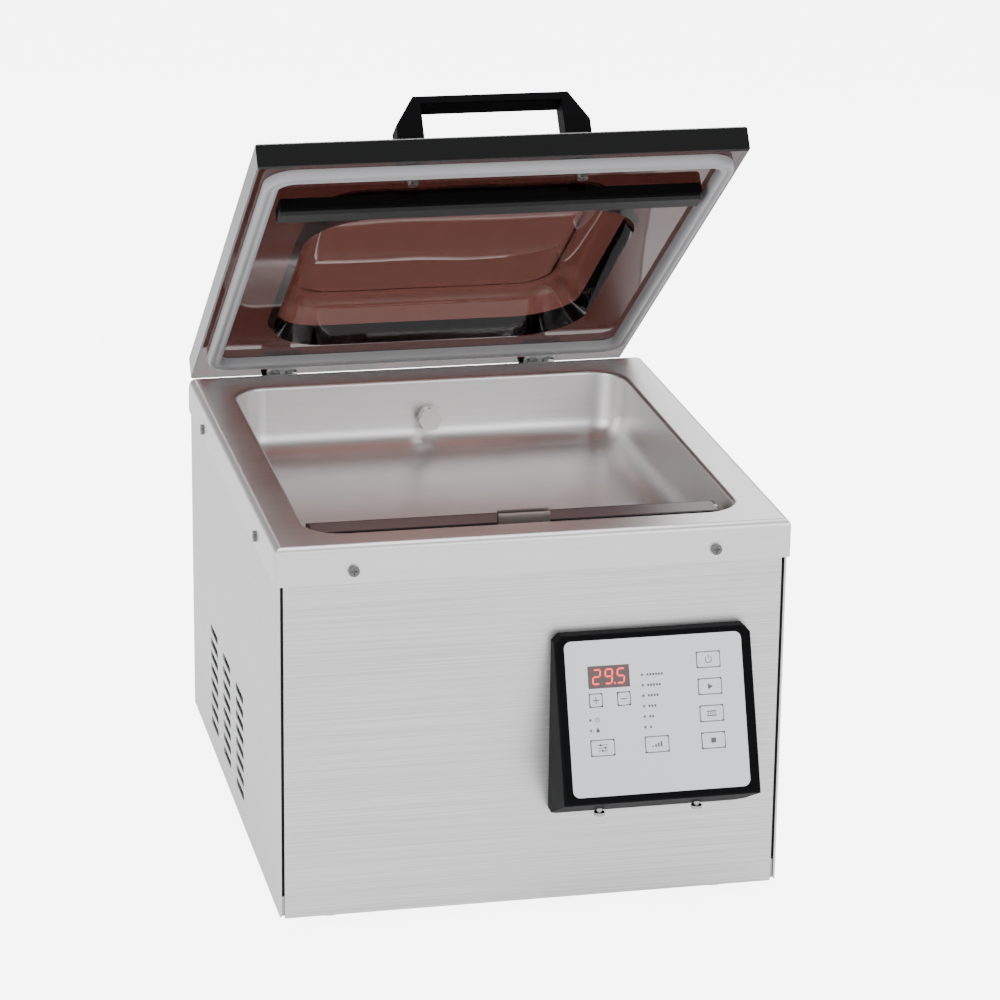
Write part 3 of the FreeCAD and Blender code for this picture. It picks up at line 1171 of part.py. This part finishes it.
# --------------------------------------------------------------------------------------------
# Checks and files
# --------------------------------------------------------------------------------------------
doc.recompute()
failed = [item.Label for item in doc.Objects if {"Invalid", "Error"} & set(item.State)]
if failed:
    raise RuntimeError("failed: %s" % failed)
os.makedirs("parts", exist_ok=True)
for item in NODES:
    if item.Shape.isNull() or not item.Shape.isValid():
        raise RuntimeError("bad shape: %s" % item.Label)
    item.Shape.exportStep("parts/%s.step" % item.Label)
    print(item.Label, len(item.Shape.Solids), round(item.Shape.Volume), item.Shape.BoundBox)
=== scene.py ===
"""Looks of the chamber vacuum sealer: studio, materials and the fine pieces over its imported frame."""
import json
import math

import bmesh
import bpy
from mathutils import Matrix, Vector


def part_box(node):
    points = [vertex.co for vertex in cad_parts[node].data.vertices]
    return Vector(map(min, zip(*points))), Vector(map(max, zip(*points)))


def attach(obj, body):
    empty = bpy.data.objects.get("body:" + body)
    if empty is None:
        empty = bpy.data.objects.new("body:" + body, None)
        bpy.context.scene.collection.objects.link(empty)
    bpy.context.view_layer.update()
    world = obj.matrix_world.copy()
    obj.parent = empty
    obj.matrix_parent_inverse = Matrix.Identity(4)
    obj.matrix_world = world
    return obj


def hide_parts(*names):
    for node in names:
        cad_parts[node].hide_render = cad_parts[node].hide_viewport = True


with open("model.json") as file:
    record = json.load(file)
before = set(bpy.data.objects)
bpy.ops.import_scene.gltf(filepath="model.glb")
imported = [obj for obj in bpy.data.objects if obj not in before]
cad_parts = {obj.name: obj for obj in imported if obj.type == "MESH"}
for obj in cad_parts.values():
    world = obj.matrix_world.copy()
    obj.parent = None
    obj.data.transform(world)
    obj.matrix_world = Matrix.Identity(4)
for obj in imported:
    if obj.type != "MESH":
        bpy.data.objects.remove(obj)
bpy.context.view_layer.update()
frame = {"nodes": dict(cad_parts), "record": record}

MM = 0.001
record = frame["record"]
nodes = frame["nodes"]
joints = {joint["name"]: joint for joint in record["behaviour"]["joints"]}

# --------------------------------------------------------------------------------------------
# Camera: a long lens, a little to the left of the machine and above it, looking down at the
# open lid and the control box. Its angles are the bearing, the height and the tilt of the frame.
# --------------------------------------------------------------------------------------------
CAMERA_AT = Vector((-0.5731, -2.65495, 1.1346))
azimuth, elevation, roll = (math.radians(a) for a in (-12.616, 18.129, 0.729))
back = Vector((math.sin(azimuth) * math.cos(elevation), -math.cos(azimuth) * math.cos(elevation),
               math.sin(elevation)))
right = Vector((0, 0, 1)).cross(back).normalized()
up = back.cross(right)
right, up = (right * math.cos(roll) + up * math.sin(roll), up * math.cos(roll) - right * math.sin(roll))
lens = bpy.data.cameras.new("camera")
lens.lens = 136.43
lens.sensor_width = 36
lens.clip_start, lens.clip_end = 0.1, 50
camera = bpy.data.objects.new("camera", lens)
camera.matrix_world = Matrix.Translation(CAMERA_AT) @ Matrix((right, up, back)).transposed().to_4x4()
bpy.context.scene.collection.objects.link(camera)
bpy.context.scene.camera = camera

# --------------------------------------------------------------------------------------------
# Studio: a pale floor that glows to the camera, a world that is darker behind the machine, so
# that the steel has something to reflect, and four large soft lights.
# --------------------------------------------------------------------------------------------
def new_material(name):
    """An empty material with an output and a Principled shader, and its node tree."""
    made = bpy.data.materials.new(name)
    made.use_nodes = True
    tree = made.node_tree
    tree.nodes.clear()
    output = tree.nodes.new("ShaderNodeOutputMaterial")
    shader = tree.nodes.new("ShaderNodeBsdfPrincipled")
    tree.links.new(shader.outputs[0], output.inputs["Surface"])
    return made, tree, shader, output


def plain(name, color, roughness, metallic=0.0, **extra):
    """A material of constant values."""
    made, tree, shader, output = new_material(name)
    shader.inputs["Base Color"].default_value = (*color, 1)
    shader.inputs["Roughness"].default_value = roughness
    shader.inputs["Metallic"].default_value = metallic
    for key, value in extra.items():
        shader.inputs[key.replace("_", " ")].default_value = value
    return made


def mesh_object(name, shape, material):
    """A new object at the origin from a bmesh, with one material."""
    bmesh.ops.recalc_face_normals(shape, faces=shape.faces[:])
    mesh = bpy.data.meshes.new(name)
    shape.to_mesh(mesh)
    shape.free()
    mesh.materials.append(material)
    item = bpy.data.objects.new(name, mesh)
    bpy.context.scene.collection.objects.link(item)
    return item


FLOOR_HALF = 16
floor_paint, tree, shader, output = new_material("floor_paint")
shader.inputs["Base Color"].default_value = (0.94, 0.94, 0.94, 1)
shader.inputs["Roughness"].default_value = 0.8
shader.inputs["Emission Color"].default_value = (1, 1, 1, 1)
path = tree.nodes.new("ShaderNodeLightPath")
glow = tree.nodes.new("ShaderNodeMapRange")
glow.inputs["To Min"].default_value = 0.45
glow.inputs["To Max"].default_value = 6.0
tree.links.new(path.outputs["Is Camera Ray"], glow.inputs["Value"])
tree.links.new(glow.outputs["Result"], shader.inputs["Emission Strength"])
shape = bmesh.new()
bmesh.ops.create_grid(shape, x_segments=1, y_segments=1, size=FLOOR_HALF)
floor = mesh_object("floor", shape, floor_paint)

world = bpy.data.worlds.new("studio")
world.use_nodes = True
bpy.context.scene.world = world
tree = world.node_tree
tree.nodes.clear()
coords = tree.nodes.new("ShaderNodeTexCoord")
split = tree.nodes.new("ShaderNodeSeparateXYZ")
ramp = tree.nodes.new("ShaderNodeValToRGB")
behind = tree.nodes.new("ShaderNodeMapRange")
behind.inputs["From Min"].default_value = 0.2
behind.inputs["From Max"].default_value = 0.7
behind.inputs["To Max"].default_value = 0.75
dim = tree.nodes.new("ShaderNodeMix")
dim.data_type = "RGBA"
dim.inputs["B"].default_value = (0.24, 0.22, 0.215, 1)
background = tree.nodes.new("ShaderNodeBackground")
world_out = tree.nodes.new("ShaderNodeOutputWorld")
ramp.color_ramp.elements[0].position = 0.0
ramp.color_ramp.elements[0].color = (1, 1, 1, 1)
ramp.color_ramp.elements[1].position = 0.75
ramp.color_ramp.elements[1].color = (0.55, 0.56, 0.58, 1)
background.inputs["Strength"].default_value = 1.0
tree.links.new(coords.outputs["Generated"], split.inputs[0])
tree.links.new(split.outputs["Z"], ramp.inputs["Fac"])
tree.links.new(split.outputs["Y"], behind.inputs["Value"])
tree.links.new(behind.outputs["Result"], dim.inputs["Factor"])
tree.links.new(ramp.outputs["Color"], dim.inputs["A"])
tree.links.new(dim.outputs["Result"], background.inputs["Color"])
tree.links.new(background.outputs[0], world_out.inputs["Surface"])


def soft_light(name, place, target, width, height, watts):
    """A rectangular lamp aimed at a point; places and sizes are in metres."""
    lamp = bpy.data.lights.new(name, "AREA")
    lamp.shape = "RECTANGLE"
    lamp.size, lamp.size_y = width, height
    lamp.energy = watts
    item = bpy.data.objects.new(name, lamp)
    item.location = place
    aim = Vector(target) - Vector(place)
    item.rotation_mode = "QUATERNION"
    item.rotation_quaternion = aim.to_track_quat("-Z", "Y")
    bpy.context.scene.collection.objects.link(item)


soft_light("left_box", (-2.2, -1.2, 1.3), (0, 0, 0.25), 1.4, 2.0, 34)
soft_light("top_box", (0.1, 0.1, 2.4), (0, 0, 0.2), 2.2, 1.6, 30)
soft_light("front_box", (0.9, -2.6, 1.2), (0, 0, 0.2), 1.2, 1.2, 16)
soft_light("back_box", (0.6, 2.0, 1.4), (0, 0, 0.35), 1.8, 1.0, 16)

# --------------------------------------------------------------------------------------------
# Casing: four sheets of stainless steel, brushed level, held under the skirt by its screws.
# Corner posts and the tray stand behind them; the posts are near-black, as painted shade for the dark gaps
# between the sheets at the corners. The grain is a noise drawn out along X and Y.
# --------------------------------------------------------------------------------------------
grain_group = bpy.data.node_groups.new("grain", "ShaderNodeTree")
grain_group.interface.new_socket("Vector", in_out="INPUT", socket_type="NodeSocketVector")
grain_group.interface.new_socket("Streaks", in_out="OUTPUT", socket_type="NodeSocketFloat")
grain_group.interface.new_socket("Clouds", in_out="OUTPUT", socket_type="NodeSocketFloat")
group_in = grain_group.nodes.new("NodeGroupInput")
group_out = grain_group.nodes.new("NodeGroupOutput")
for socket, scale, detail in (("Streaks", 1.0, 6.0), ("Clouds", 0.02, 3.0)):
    noise = grain_group.nodes.new("ShaderNodeTexNoise")
    noise.inputs["Scale"].default_value = scale
    noise.inputs["Detail"].default_value = detail
    grain_group.links.new(group_in.outputs["Vector"], noise.inputs["Vector"])
    grain_group.links.new(noise.outputs["Fac"], group_out.inputs[socket])


def brushed(name, color, roughness, stretch, contrast=0.10, bump=0.12):
    """Brushed metal; stretch is how fine the grain is along X, Y and Z, per metre."""
    made, tree, shader, output = new_material(name)
    coords = tree.nodes.new("ShaderNodeTexCoord")
    mapping = tree.nodes.new("ShaderNodeMapping")
    mapping.inputs["Scale"].default_value = stretch
    grain = tree.nodes.new("ShaderNodeGroup")
    grain.node_tree = grain_group
    tone = tree.nodes.new("ShaderNodeMapRange")
    tone.inputs["From Min"].default_value = 0.3
    tone.inputs["From Max"].default_value = 0.7
    tone.inputs["To Min"].default_value = 1 - contrast
    tone.inputs["To Max"].default_value = 1 + contrast
    tint = tree.nodes.new("ShaderNodeVectorMath")
    tint.operation = "SCALE"
    tint.inputs[0].default_value = color
    rough = tree.nodes.new("ShaderNodeMapRange")
    rough.inputs["To Min"].default_value = roughness * 0.85
    rough.inputs["To Max"].default_value = roughness * 1.2
    relief = tree.nodes.new("ShaderNodeBump")
    relief.inputs["Strength"].default_value = bump
    relief.inputs["Distance"].default_value = 0.0001
    shader.inputs["Metallic"].default_value = 1.0
    link = tree.links.new
    link(coords.outputs["Object"], mapping.inputs["Vector"])
    link(mapping.outputs["Vector"], grain.inputs["Vector"])
    link(grain.outputs["Streaks"], tone.inputs["Value"])
    link(tone.outputs["Result"], tint.inputs["Scale"])
    link(tint.outputs["Vector"], shader.inputs["Base Color"])
    link(grain.outputs["Clouds"], rough.inputs["Value"])
    link(rough.outputs["Result"], shader.inputs["Roughness"])
    link(grain.outputs["Streaks"], relief.inputs["Height"])
    link(relief.outputs["Normal"], shader.inputs["Normal"])
    return made


def paint(material, *names):
    """Gives CAD nodes one material."""
    for name in names:
        mesh = nodes[name].data
        mesh.materials.clear()
        mesh.materials.append(material)


steel_front = brushed("steel_front", (0.70, 0.70, 0.70), 0.36, (5, 5, 900), contrast=0.16)
steel_side = brushed("steel_side", (0.74, 0.74, 0.74), 0.4, (5, 5, 900), contrast=0.05)
dull_sheet = plain("dull_sheet", (0.45, 0.46, 0.46), 0.45, 1.0)
# Near-black for the corner posts: painted shade that stands in for the shadow in the gaps between the front
# and side sheets.
painted_post = plain("painted_post", (0.012, 0.012, 0.012), 0.6, Specular_IOR_Level=0.1)
paint(steel_front, "front_panel", "rear_panel")
paint(steel_side, "left_side_panel", "right_side_panel")
paint(dull_sheet, "base_tray", "pump_bracket")
# The corner posts carry the near-black painted shade of the corner gaps.
paint(painted_post, "corner_posts")

# --------------------------------------------------------------------------------------------
# Chamber and rim: one deep-drawn pressing of stainless steel with a skirt that drops over the
# sheets. Its satin finish is finer than that of the casing.
# --------------------------------------------------------------------------------------------
steel_satin = brushed("steel_satin", (0.80, 0.785, 0.78), 0.38, (6, 500, 500), contrast=0.03, bump=0.04)
paint(steel_satin, "chamber_top")

# --------------------------------------------------------------------------------------------
# Lid: a thick plate of smoked acrylic with a formed dome. It is darker the further light goes
# through it, and a little wavy where it was heated and drawn.
# --------------------------------------------------------------------------------------------
smoke, tree, shader, output = new_material("smoked_acrylic")
shader.inputs["Base Color"].default_value = (0.24, 0.12, 0.10, 1)
shader.inputs["Roughness"].default_value = 0.03
shader.inputs["IOR"].default_value = 1.49
shader.inputs["Transmission Weight"].default_value = 1.0
absorb = tree.nodes.new("ShaderNodeVolumeAbsorption")
absorb.inputs["Color"].default_value = (0.42, 0.22, 0.18, 1)
absorb.inputs["Density"].default_value = 110
coords = tree.nodes.new("ShaderNodeTexCoord")
ripple = tree.nodes.new("ShaderNodeTexNoise")
ripple.inputs["Scale"].default_value = 9
ripple.inputs["Detail"].default_value = 1
relief = tree.nodes.new("ShaderNodeBump")
relief.inputs["Strength"].default_value = 0.3
relief.inputs["Distance"].default_value = 0.003
tree.links.new(coords.outputs["Object"], ripple.inputs["Vector"])
tree.links.new(ripple.outputs["Fac"], relief.inputs["Height"])
tree.links.new(relief.outputs["Normal"], shader.inputs["Normal"])
tree.links.new(absorb.outputs[0], output.inputs["Volume"])
paint(smoke, "lid_panel")

# --------------------------------------------------------------------------------------------
# Lid fittings: grey silicone gasket, black counter bar and handle screwed to the lid, and steel
# hinge arms bolted through it. Screws, springs and small black plastic pieces share their metals.
# --------------------------------------------------------------------------------------------
silicone = plain("silicone", (0.33, 0.33, 0.34), 0.5)
black_gloss = plain("black_gloss", (0.004, 0.004, 0.0045), 0.5, Specular_IOR_Level=0.03)
black_satin = plain("black_satin", (0.012, 0.012, 0.013), 0.45, Specular_IOR_Level=0.3)
rubber = plain("rubber", (0.02, 0.02, 0.02), 0.7)
hinge_metal = plain("hinge_metal", (0.55, 0.56, 0.57), 0.45, 0.4)
bright_steel = plain("bright_steel", (0.42, 0.42, 0.41), 0.25, 1.0)
turned_steel = plain("turned_steel", (0.6, 0.58, 0.56), 0.3, 1.0)
paint(silicone, "lid_gasket")
paint(black_gloss, "lid_handle", "counter_bar", "control_housing")
paint(rubber, "counter_strip", "rubber_feet", "pump_mounts", "vacuum_hose", "hinge_bushes")
paint(hinge_metal, "hinge_arms", "hinge_top_plates", "hinge_bearings")
paint(plain("dark_steel", (0.16, 0.16, 0.16), 0.35, 1.0), "rim_screws")
paint(bright_steel, "case_screws", "foot_screws", "handle_screws", "hinge_bolts",
      "inlet_pins", "heating_band", "hinge_shaft", "lift_rods")
paint(turned_steel, "suction_cap", "suction_nozzle", "lid_springs", "pump_rotor")
paint(black_satin, "power_inlet", "lid_switch", "vent_valve", "fan_cowl", "seal_bar", "tact_switches")

# --------------------------------------------------------------------------------------------
# Chamber fittings: the woven tape stuck over the seal bar, and the folded steel clip that holds
# the mouth of the bag.
# --------------------------------------------------------------------------------------------
tape = plain("tape", (0.10, 0.075, 0.075), 0.35)
clip_metal = plain("clip_metal", (0.48, 0.44, 0.42), 0.3, 1.0)
paint(tape, "sealing_tape")
paint(clip_metal, "bag_clip")

# --------------------------------------------------------------------------------------------
# Inside the casing: cast aluminium pump and cylinders, enamelled motor, transformer of steel
# sheets with copper windings, and the green control board.
# --------------------------------------------------------------------------------------------
paint(plain("cast_aluminium", (0.5, 0.51, 0.52), 0.5, 1.0), "vacuum_pump", "lift_cylinders")
paint(plain("motor_enamel", (0.05, 0.07, 0.10), 0.4), "pump_motor")
paint(plain("laminations", (0.16, 0.15, 0.14), 0.5, 1.0), "transformer_core")
paint(plain("copper_wire", (0.7, 0.32, 0.12), 0.3, 1.0), "transformer_coil")
paint(plain("solder_mask", (0.02, 0.16, 0.06), 0.4), "control_board")

# --------------------------------------------------------------------------------------------
# Keypad: silver foil stuck on the sloping face of the control box, with the keys cut free, a
# dark window for the figures and small grey lenses for the lamps.
# --------------------------------------------------------------------------------------------
foil = plain("foil", (0.60, 0.61, 0.63), 0.36, 0.45)
window = plain("display_window", (0.05, 0.004, 0.006), 0.12)
lens_grey = plain("lens_grey", (0.16, 0.16, 0.17), 0.3)
KEYS = ("power", "start", "seal", "stop", "function", "vacuum_level", "plus", "minus")
paint(foil, "keypad_overlay", *["key_" + key for key in KEYS])
paint(window, "display_module")
paint(lens_grey, "indicator_leds")

# --------------------------------------------------------------------------------------------
# Print on the keypad: dark ink, laid on as thin raised shapes. Each key has a frame and a
# pictogram, and the lamps have rows of bars, a clock and a drop beside them.
# --------------------------------------------------------------------------------------------
OUT = -Vector(joints["key_power_press"]["axis"])
ACROSS = Vector((1, 0, 0))
SLOPE = OUT.cross(ACROSS)
FOIL_TOP = 0.5
KEY_TOP = 0.8
FOIL_INK = (FOIL_TOP - 0.05, FOIL_TOP + 0.05)
KEY_INK = (KEY_TOP - 0.05, KEY_TOP + 0.08)
KEY_SIZE = (17.4, 11.5)
SMALL_KEY_SIZE = (9.6, 9.6)


def middle(name):
    """The middle of a CAD node's box."""
    low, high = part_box(name)
    return (low + high) / 2


plate_middle = middle("keypad_overlay")


def on_face(u, v, w):
    """A point on the sloping face, in millimetres across, up the slope and out from the foil's middle."""
    return plate_middle + (ACROSS * u + SLOPE * v + OUT * w) * MM


def face_place(name):
    """Where a node's middle lies on the face, in millimetres."""
    offsets = [(vertex.co - plate_middle) / MM for vertex in nodes[name].data.vertices]
    spans = [[offset.dot(axis) for offset in offsets] for axis in (ACROSS, SLOPE)]
    return [(min(span) + max(span)) / 2 for span in spans]


def raised(shape, faces, height):
    """Extrudes flat faces straight out from the foil."""
    grown = bmesh.ops.extrude_face_region(shape, geom=faces)["geom"]
    bmesh.ops.translate(shape, verts=[part for part in grown if isinstance(part, bmesh.types.BMVert)],
                        vec=OUT * (height * MM))


def prism(shape, outline, low, high):
    """A flat print or tile with straight sides; its outline is a list of (across, up) points."""
    raised(shape, [shape.faces.new([shape.verts.new(on_face(u, v, low)) for u, v in outline])], high - low)


def frame_print(shape, outer, inner, low, high):
    """A printed ring between two outlines."""
    edges = []
    for outline in (outer, inner):
        ring = [shape.verts.new(on_face(u, v, low)) for u, v in outline]
        edges += [shape.edges.new(pair) for pair in zip(ring, ring[1:] + ring[:1])]
    raised(shape, bmesh.ops.bridge_loops(shape, edges=edges)["faces"], high - low)


def oblong(u, v, width, height, corner, steps=6):
    """The outline of a rectangle with round corners."""
    points = []
    for turn, (side, rise) in enumerate(((1, 1), (-1, 1), (-1, -1), (1, -1))):
        for step in range(steps + 1):
            angle = math.pi / 2 * (turn + step / steps)
            points.append((u + side * (width / 2 - corner) + corner * math.cos(angle),
                           v + rise * (height / 2 - corner) + corner * math.sin(angle)))
    return points


def bar(u, v, width, height):
    """The outline of a plain rectangle."""
    return [(u - width / 2, v - height / 2), (u + width / 2, v - height / 2),
            (u + width / 2, v + height / 2), (u - width / 2, v + height / 2)]


def arc(u, v, radius, start, end, steps=20):
    """Points along part of a circle; the angles are in degrees."""
    angles = [math.radians(start + (end - start) * i / steps) for i in range(steps + 1)]
    return [(u + radius * math.cos(a), v + radius * math.sin(a)) for a in angles]


def pictogram(key, u, v):
    """The outlines of a key's sign."""
    if key == "power":
        ring = arc(u, v, 2.6, 130, 410) + arc(u, v, 2.0, 410, 130)
        return [ring, bar(u, v + 1.9, 0.6, 2.6)]
    if key == "start":
        return [[(u - 1.6, v - 2.1), (u + 2.2, v), (u - 1.6, v + 2.1)]]
    if key == "seal":
        return [bar(u, v + 1.5, 7, 0.8), bar(u, v - 1.5, 7, 0.8)] + [
            bar(u + shift, v, 0.7, 1.2) for shift in (-2.4, -0.8, 0.8, 2.4)]
    if key == "stop":
        return [bar(u, v, 3.6, 3.6)]
    if key == "function":
        return [bar(u, v + rise, 7, 0.5) for rise in (-2, 0, 2)] + [
            bar(u + shift, v + rise, 1.2, 1.5) for shift, rise in ((-1.5, 2), (1.8, 0), (-0.3, -2))]
    if key == "vacuum_level":
        return [bar(u - 3 + 2 * step, v - 1.8 + 0.5 * step + 0.4, 1.2, 0.8 + step) for step in range(4)]
    if key == "plus":
        return [[(u - 2.4, v - 0.35), (u - 0.35, v - 0.35), (u - 0.35, v - 2.4), (u + 0.35, v - 2.4),
                 (u + 0.35, v - 0.35), (u + 2.4, v - 0.35), (u + 2.4, v + 0.35), (u + 0.35, v + 0.35),
                 (u + 0.35, v + 2.4), (u - 0.35, v + 2.4), (u - 0.35, v + 0.35), (u - 2.4, v + 0.35)]]
    return [bar(u, v, 4.8, 0.7)]


ink = plain("ink", (0.10, 0.10, 0.11), 0.5)
for key in KEYS:
    u, v = face_place("key_" + key)
    small = key in ("plus", "minus")
    width, height = SMALL_KEY_SIZE if small else KEY_SIZE
    shape = bmesh.new()
    frame_print(shape, oblong(u, v, width - 0.1, height - 0.1, 1.9),
                oblong(u, v, width - 1.1, height - 1.1, 1.4), *KEY_INK)
    for outline in pictogram(key, u, v):
        prism(shape, outline, *KEY_INK)
    print_piece = mesh_object("print_" + key, shape, ink)
    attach(print_piece, "key_" + key + "_cap")

LEVEL_LEDS = (-9.4, 28.6)
TIME_LEDS = (-48.9, -1.0)
LED_PITCH = 7.4
shape = bmesh.new()
for row in range(6):
    for block in range(6 - row):
        prism(shape, bar(LEVEL_LEDS[0] + 4 + 2.1 * block, LEVEL_LEDS[1] - LED_PITCH * row, 1.4, 1.7),
              *FOIL_INK)
clock_u, clock_v = TIME_LEDS[0] + 5, TIME_LEDS[1]
frame_print(shape, arc(clock_u, clock_v, 1.7, 0, 345, 23), arc(clock_u, clock_v, 1.3, 0, 345, 23), *FOIL_INK)
prism(shape, bar(clock_u, clock_v + 0.6, 0.35, 1.2), *FOIL_INK)
prism(shape, bar(clock_u + 0.5, clock_v, 1.0, 0.35), *FOIL_INK)
drop_v = clock_v - LED_PITCH
prism(shape, [(clock_u, drop_v + 2.1)] + arc(clock_u, drop_v - 0.4, 1.3, 30, -210, 16), *FOIL_INK)
foil_print = mesh_object("print_levels", shape, ink)
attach(foil_print, "casing")

# --------------------------------------------------------------------------------------------
# Display: three red figures in the window, each made of straight lit segments with pointed
# ends that lean a little to the right.
# --------------------------------------------------------------------------------------------
lit = plain("lit_segment", (0.5, 0.01, 0.01), 0.4, Emission_Color=(1, 0.06, 0.04, 1), Emission_Strength=3.0)
SEGMENTS = {
    "a": ((-1, 2), (1, 2)), "b": ((1, 2), (1, 0)), "c": ((1, 0), (1, -2)), "d": ((-1, -2), (1, -2)),
    "e": ((-1, 0), (-1, -2)), "f": ((-1, 2), (-1, 0)), "g": ((-1, 0), (1, 0)),
}
FIGURES = (("abged", -8.8), ("abcdfg", 0.0), ("afgcd", 8.8))
HALF_FIGURE = 2.5
SEGMENT = 0.55
SLANT = 0.09
DIGIT_LOW, DIGIT_HIGH = 0.4, 0.5
window_u, window_v = face_place("display_module")
shape = bmesh.new()
for segments, shift in FIGURES:
    for letter in segments:
        ends = [Vector(point) * HALF_FIGURE for point in SEGMENTS[letter]]
        along = (ends[1] - ends[0]).normalized()
        side = Vector((-along.y, along.x)) * SEGMENT
        begin, end = ends[0] + along * 0.25, ends[1] - along * 0.25
        corners = [begin, begin + along * SEGMENT + side, end - along * SEGMENT + side, end,
                   end - along * SEGMENT - side, begin + along * SEGMENT - side]
        prism(shape, [(window_u + shift + p.x + SLANT * p.y, window_v + 0.2 + p.y) for p in corners],
              DIGIT_LOW, DIGIT_HIGH)
prism(shape, oblong(window_u + 4.2, window_v - 4.8, 1.2, 1.2, 0.5), DIGIT_LOW, DIGIT_HIGH)
figures = mesh_object("display_figures", shape, lit)
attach(figures, "casing")

# --------------------------------------------------------------------------------------------
# Gasket: a moulded silicone strip with two round lips, pressed into a groove round the lid. It
# is swept with the lid shut and then turned up with it.
# --------------------------------------------------------------------------------------------
hinge = joints["lid_hinge"]
hinge_at = Vector(hinge["pos_m"])
opened = math.radians(hinge["range_deg"][1])
shut_to_open = (Matrix.Translation(hinge_at) @ Matrix.Rotation(-opened, 4, "X")
                @ Matrix.Translation(-hinge_at))


def shut_box(name):
    """The box of a lid piece with the lid shut."""
    back_to_shut = shut_to_open.inverted()
    points = [back_to_shut @ vertex.co for vertex in nodes[name].data.vertices]
    return [Vector([pick(point[axis] for point in points) for axis in range(3)]) for pick in (min, max)]


def smooth(item, degrees):
    """Smooth shading with creases where faces meet at more than an angle."""
    item.data.shade_smooth()
    item.data.set_sharp_from_angle(angle=math.radians(degrees))


GASKET_CORNER = 22 * MM
GROOVE_DEPTH = 3 * MM
CORNER_STEPS = 12
LIPS = ((0.0, 0.0), (0.0, 5.0), (0.5, 6.5), (1.5, 7.4), (2.7, 7.7), (3.9, 7.3), (4.7, 6.7), (5.25, 6.5),
        (5.8, 6.7), (6.6, 7.3), (7.8, 7.7), (9.0, 7.4), (10.0, 6.5), (10.5, 5.0), (10.5, 0.0))
low, high = shut_box("lid_gasket")
under = high.z - GROOVE_DEPTH
shape = bmesh.new()
profile = [shape.verts.new((high.x - width * MM, high.y - GASKET_CORNER, under - depth * MM))
           for width, depth in LIPS]
edges = [shape.edges.new(pair) for pair in zip(profile, profile[1:] + profile[:1])]
across = high.x - low.x - 2 * GASKET_CORNER
along = high.y - low.y - 2 * GASKET_CORNER
for x, y, step in ((high.x, high.y, (-across, 0, 0)), (low.x, high.y, (0, -along, 0)),
                   (low.x, low.y, (across, 0, 0)), (high.x, low.y, (0, along, 0))):
    inset = GASKET_CORNER if y == high.y else -GASKET_CORNER
    corner = (x - math.copysign(GASKET_CORNER, x), y - inset, 0)
    turned = bmesh.ops.spin(shape, geom=edges, cent=corner, axis=(0, 0, 1), angle=math.pi / 2,
                            steps=CORNER_STEPS)
    edges = [part for part in turned["geom_last"] if isinstance(part, bmesh.types.BMEdge)]
    grown = bmesh.ops.extrude_edge_only(shape, edges=edges)["geom"]
    ends = {part for part in grown if isinstance(part, bmesh.types.BMVert)}
    bmesh.ops.translate(shape, verts=list(ends), vec=step)
    edges = [part for part in grown if isinstance(part, bmesh.types.BMEdge) and ends.issuperset(part.verts)]
bmesh.ops.remove_doubles(shape, verts=shape.verts[:], dist=0.01 * MM)
bmesh.ops.transform(shape, matrix=shut_to_open, verts=shape.verts[:])
gasket = mesh_object("gasket_strip", shape, silicone)
smooth(gasket, 50)
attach(gasket, "lid")
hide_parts("lid_gasket")
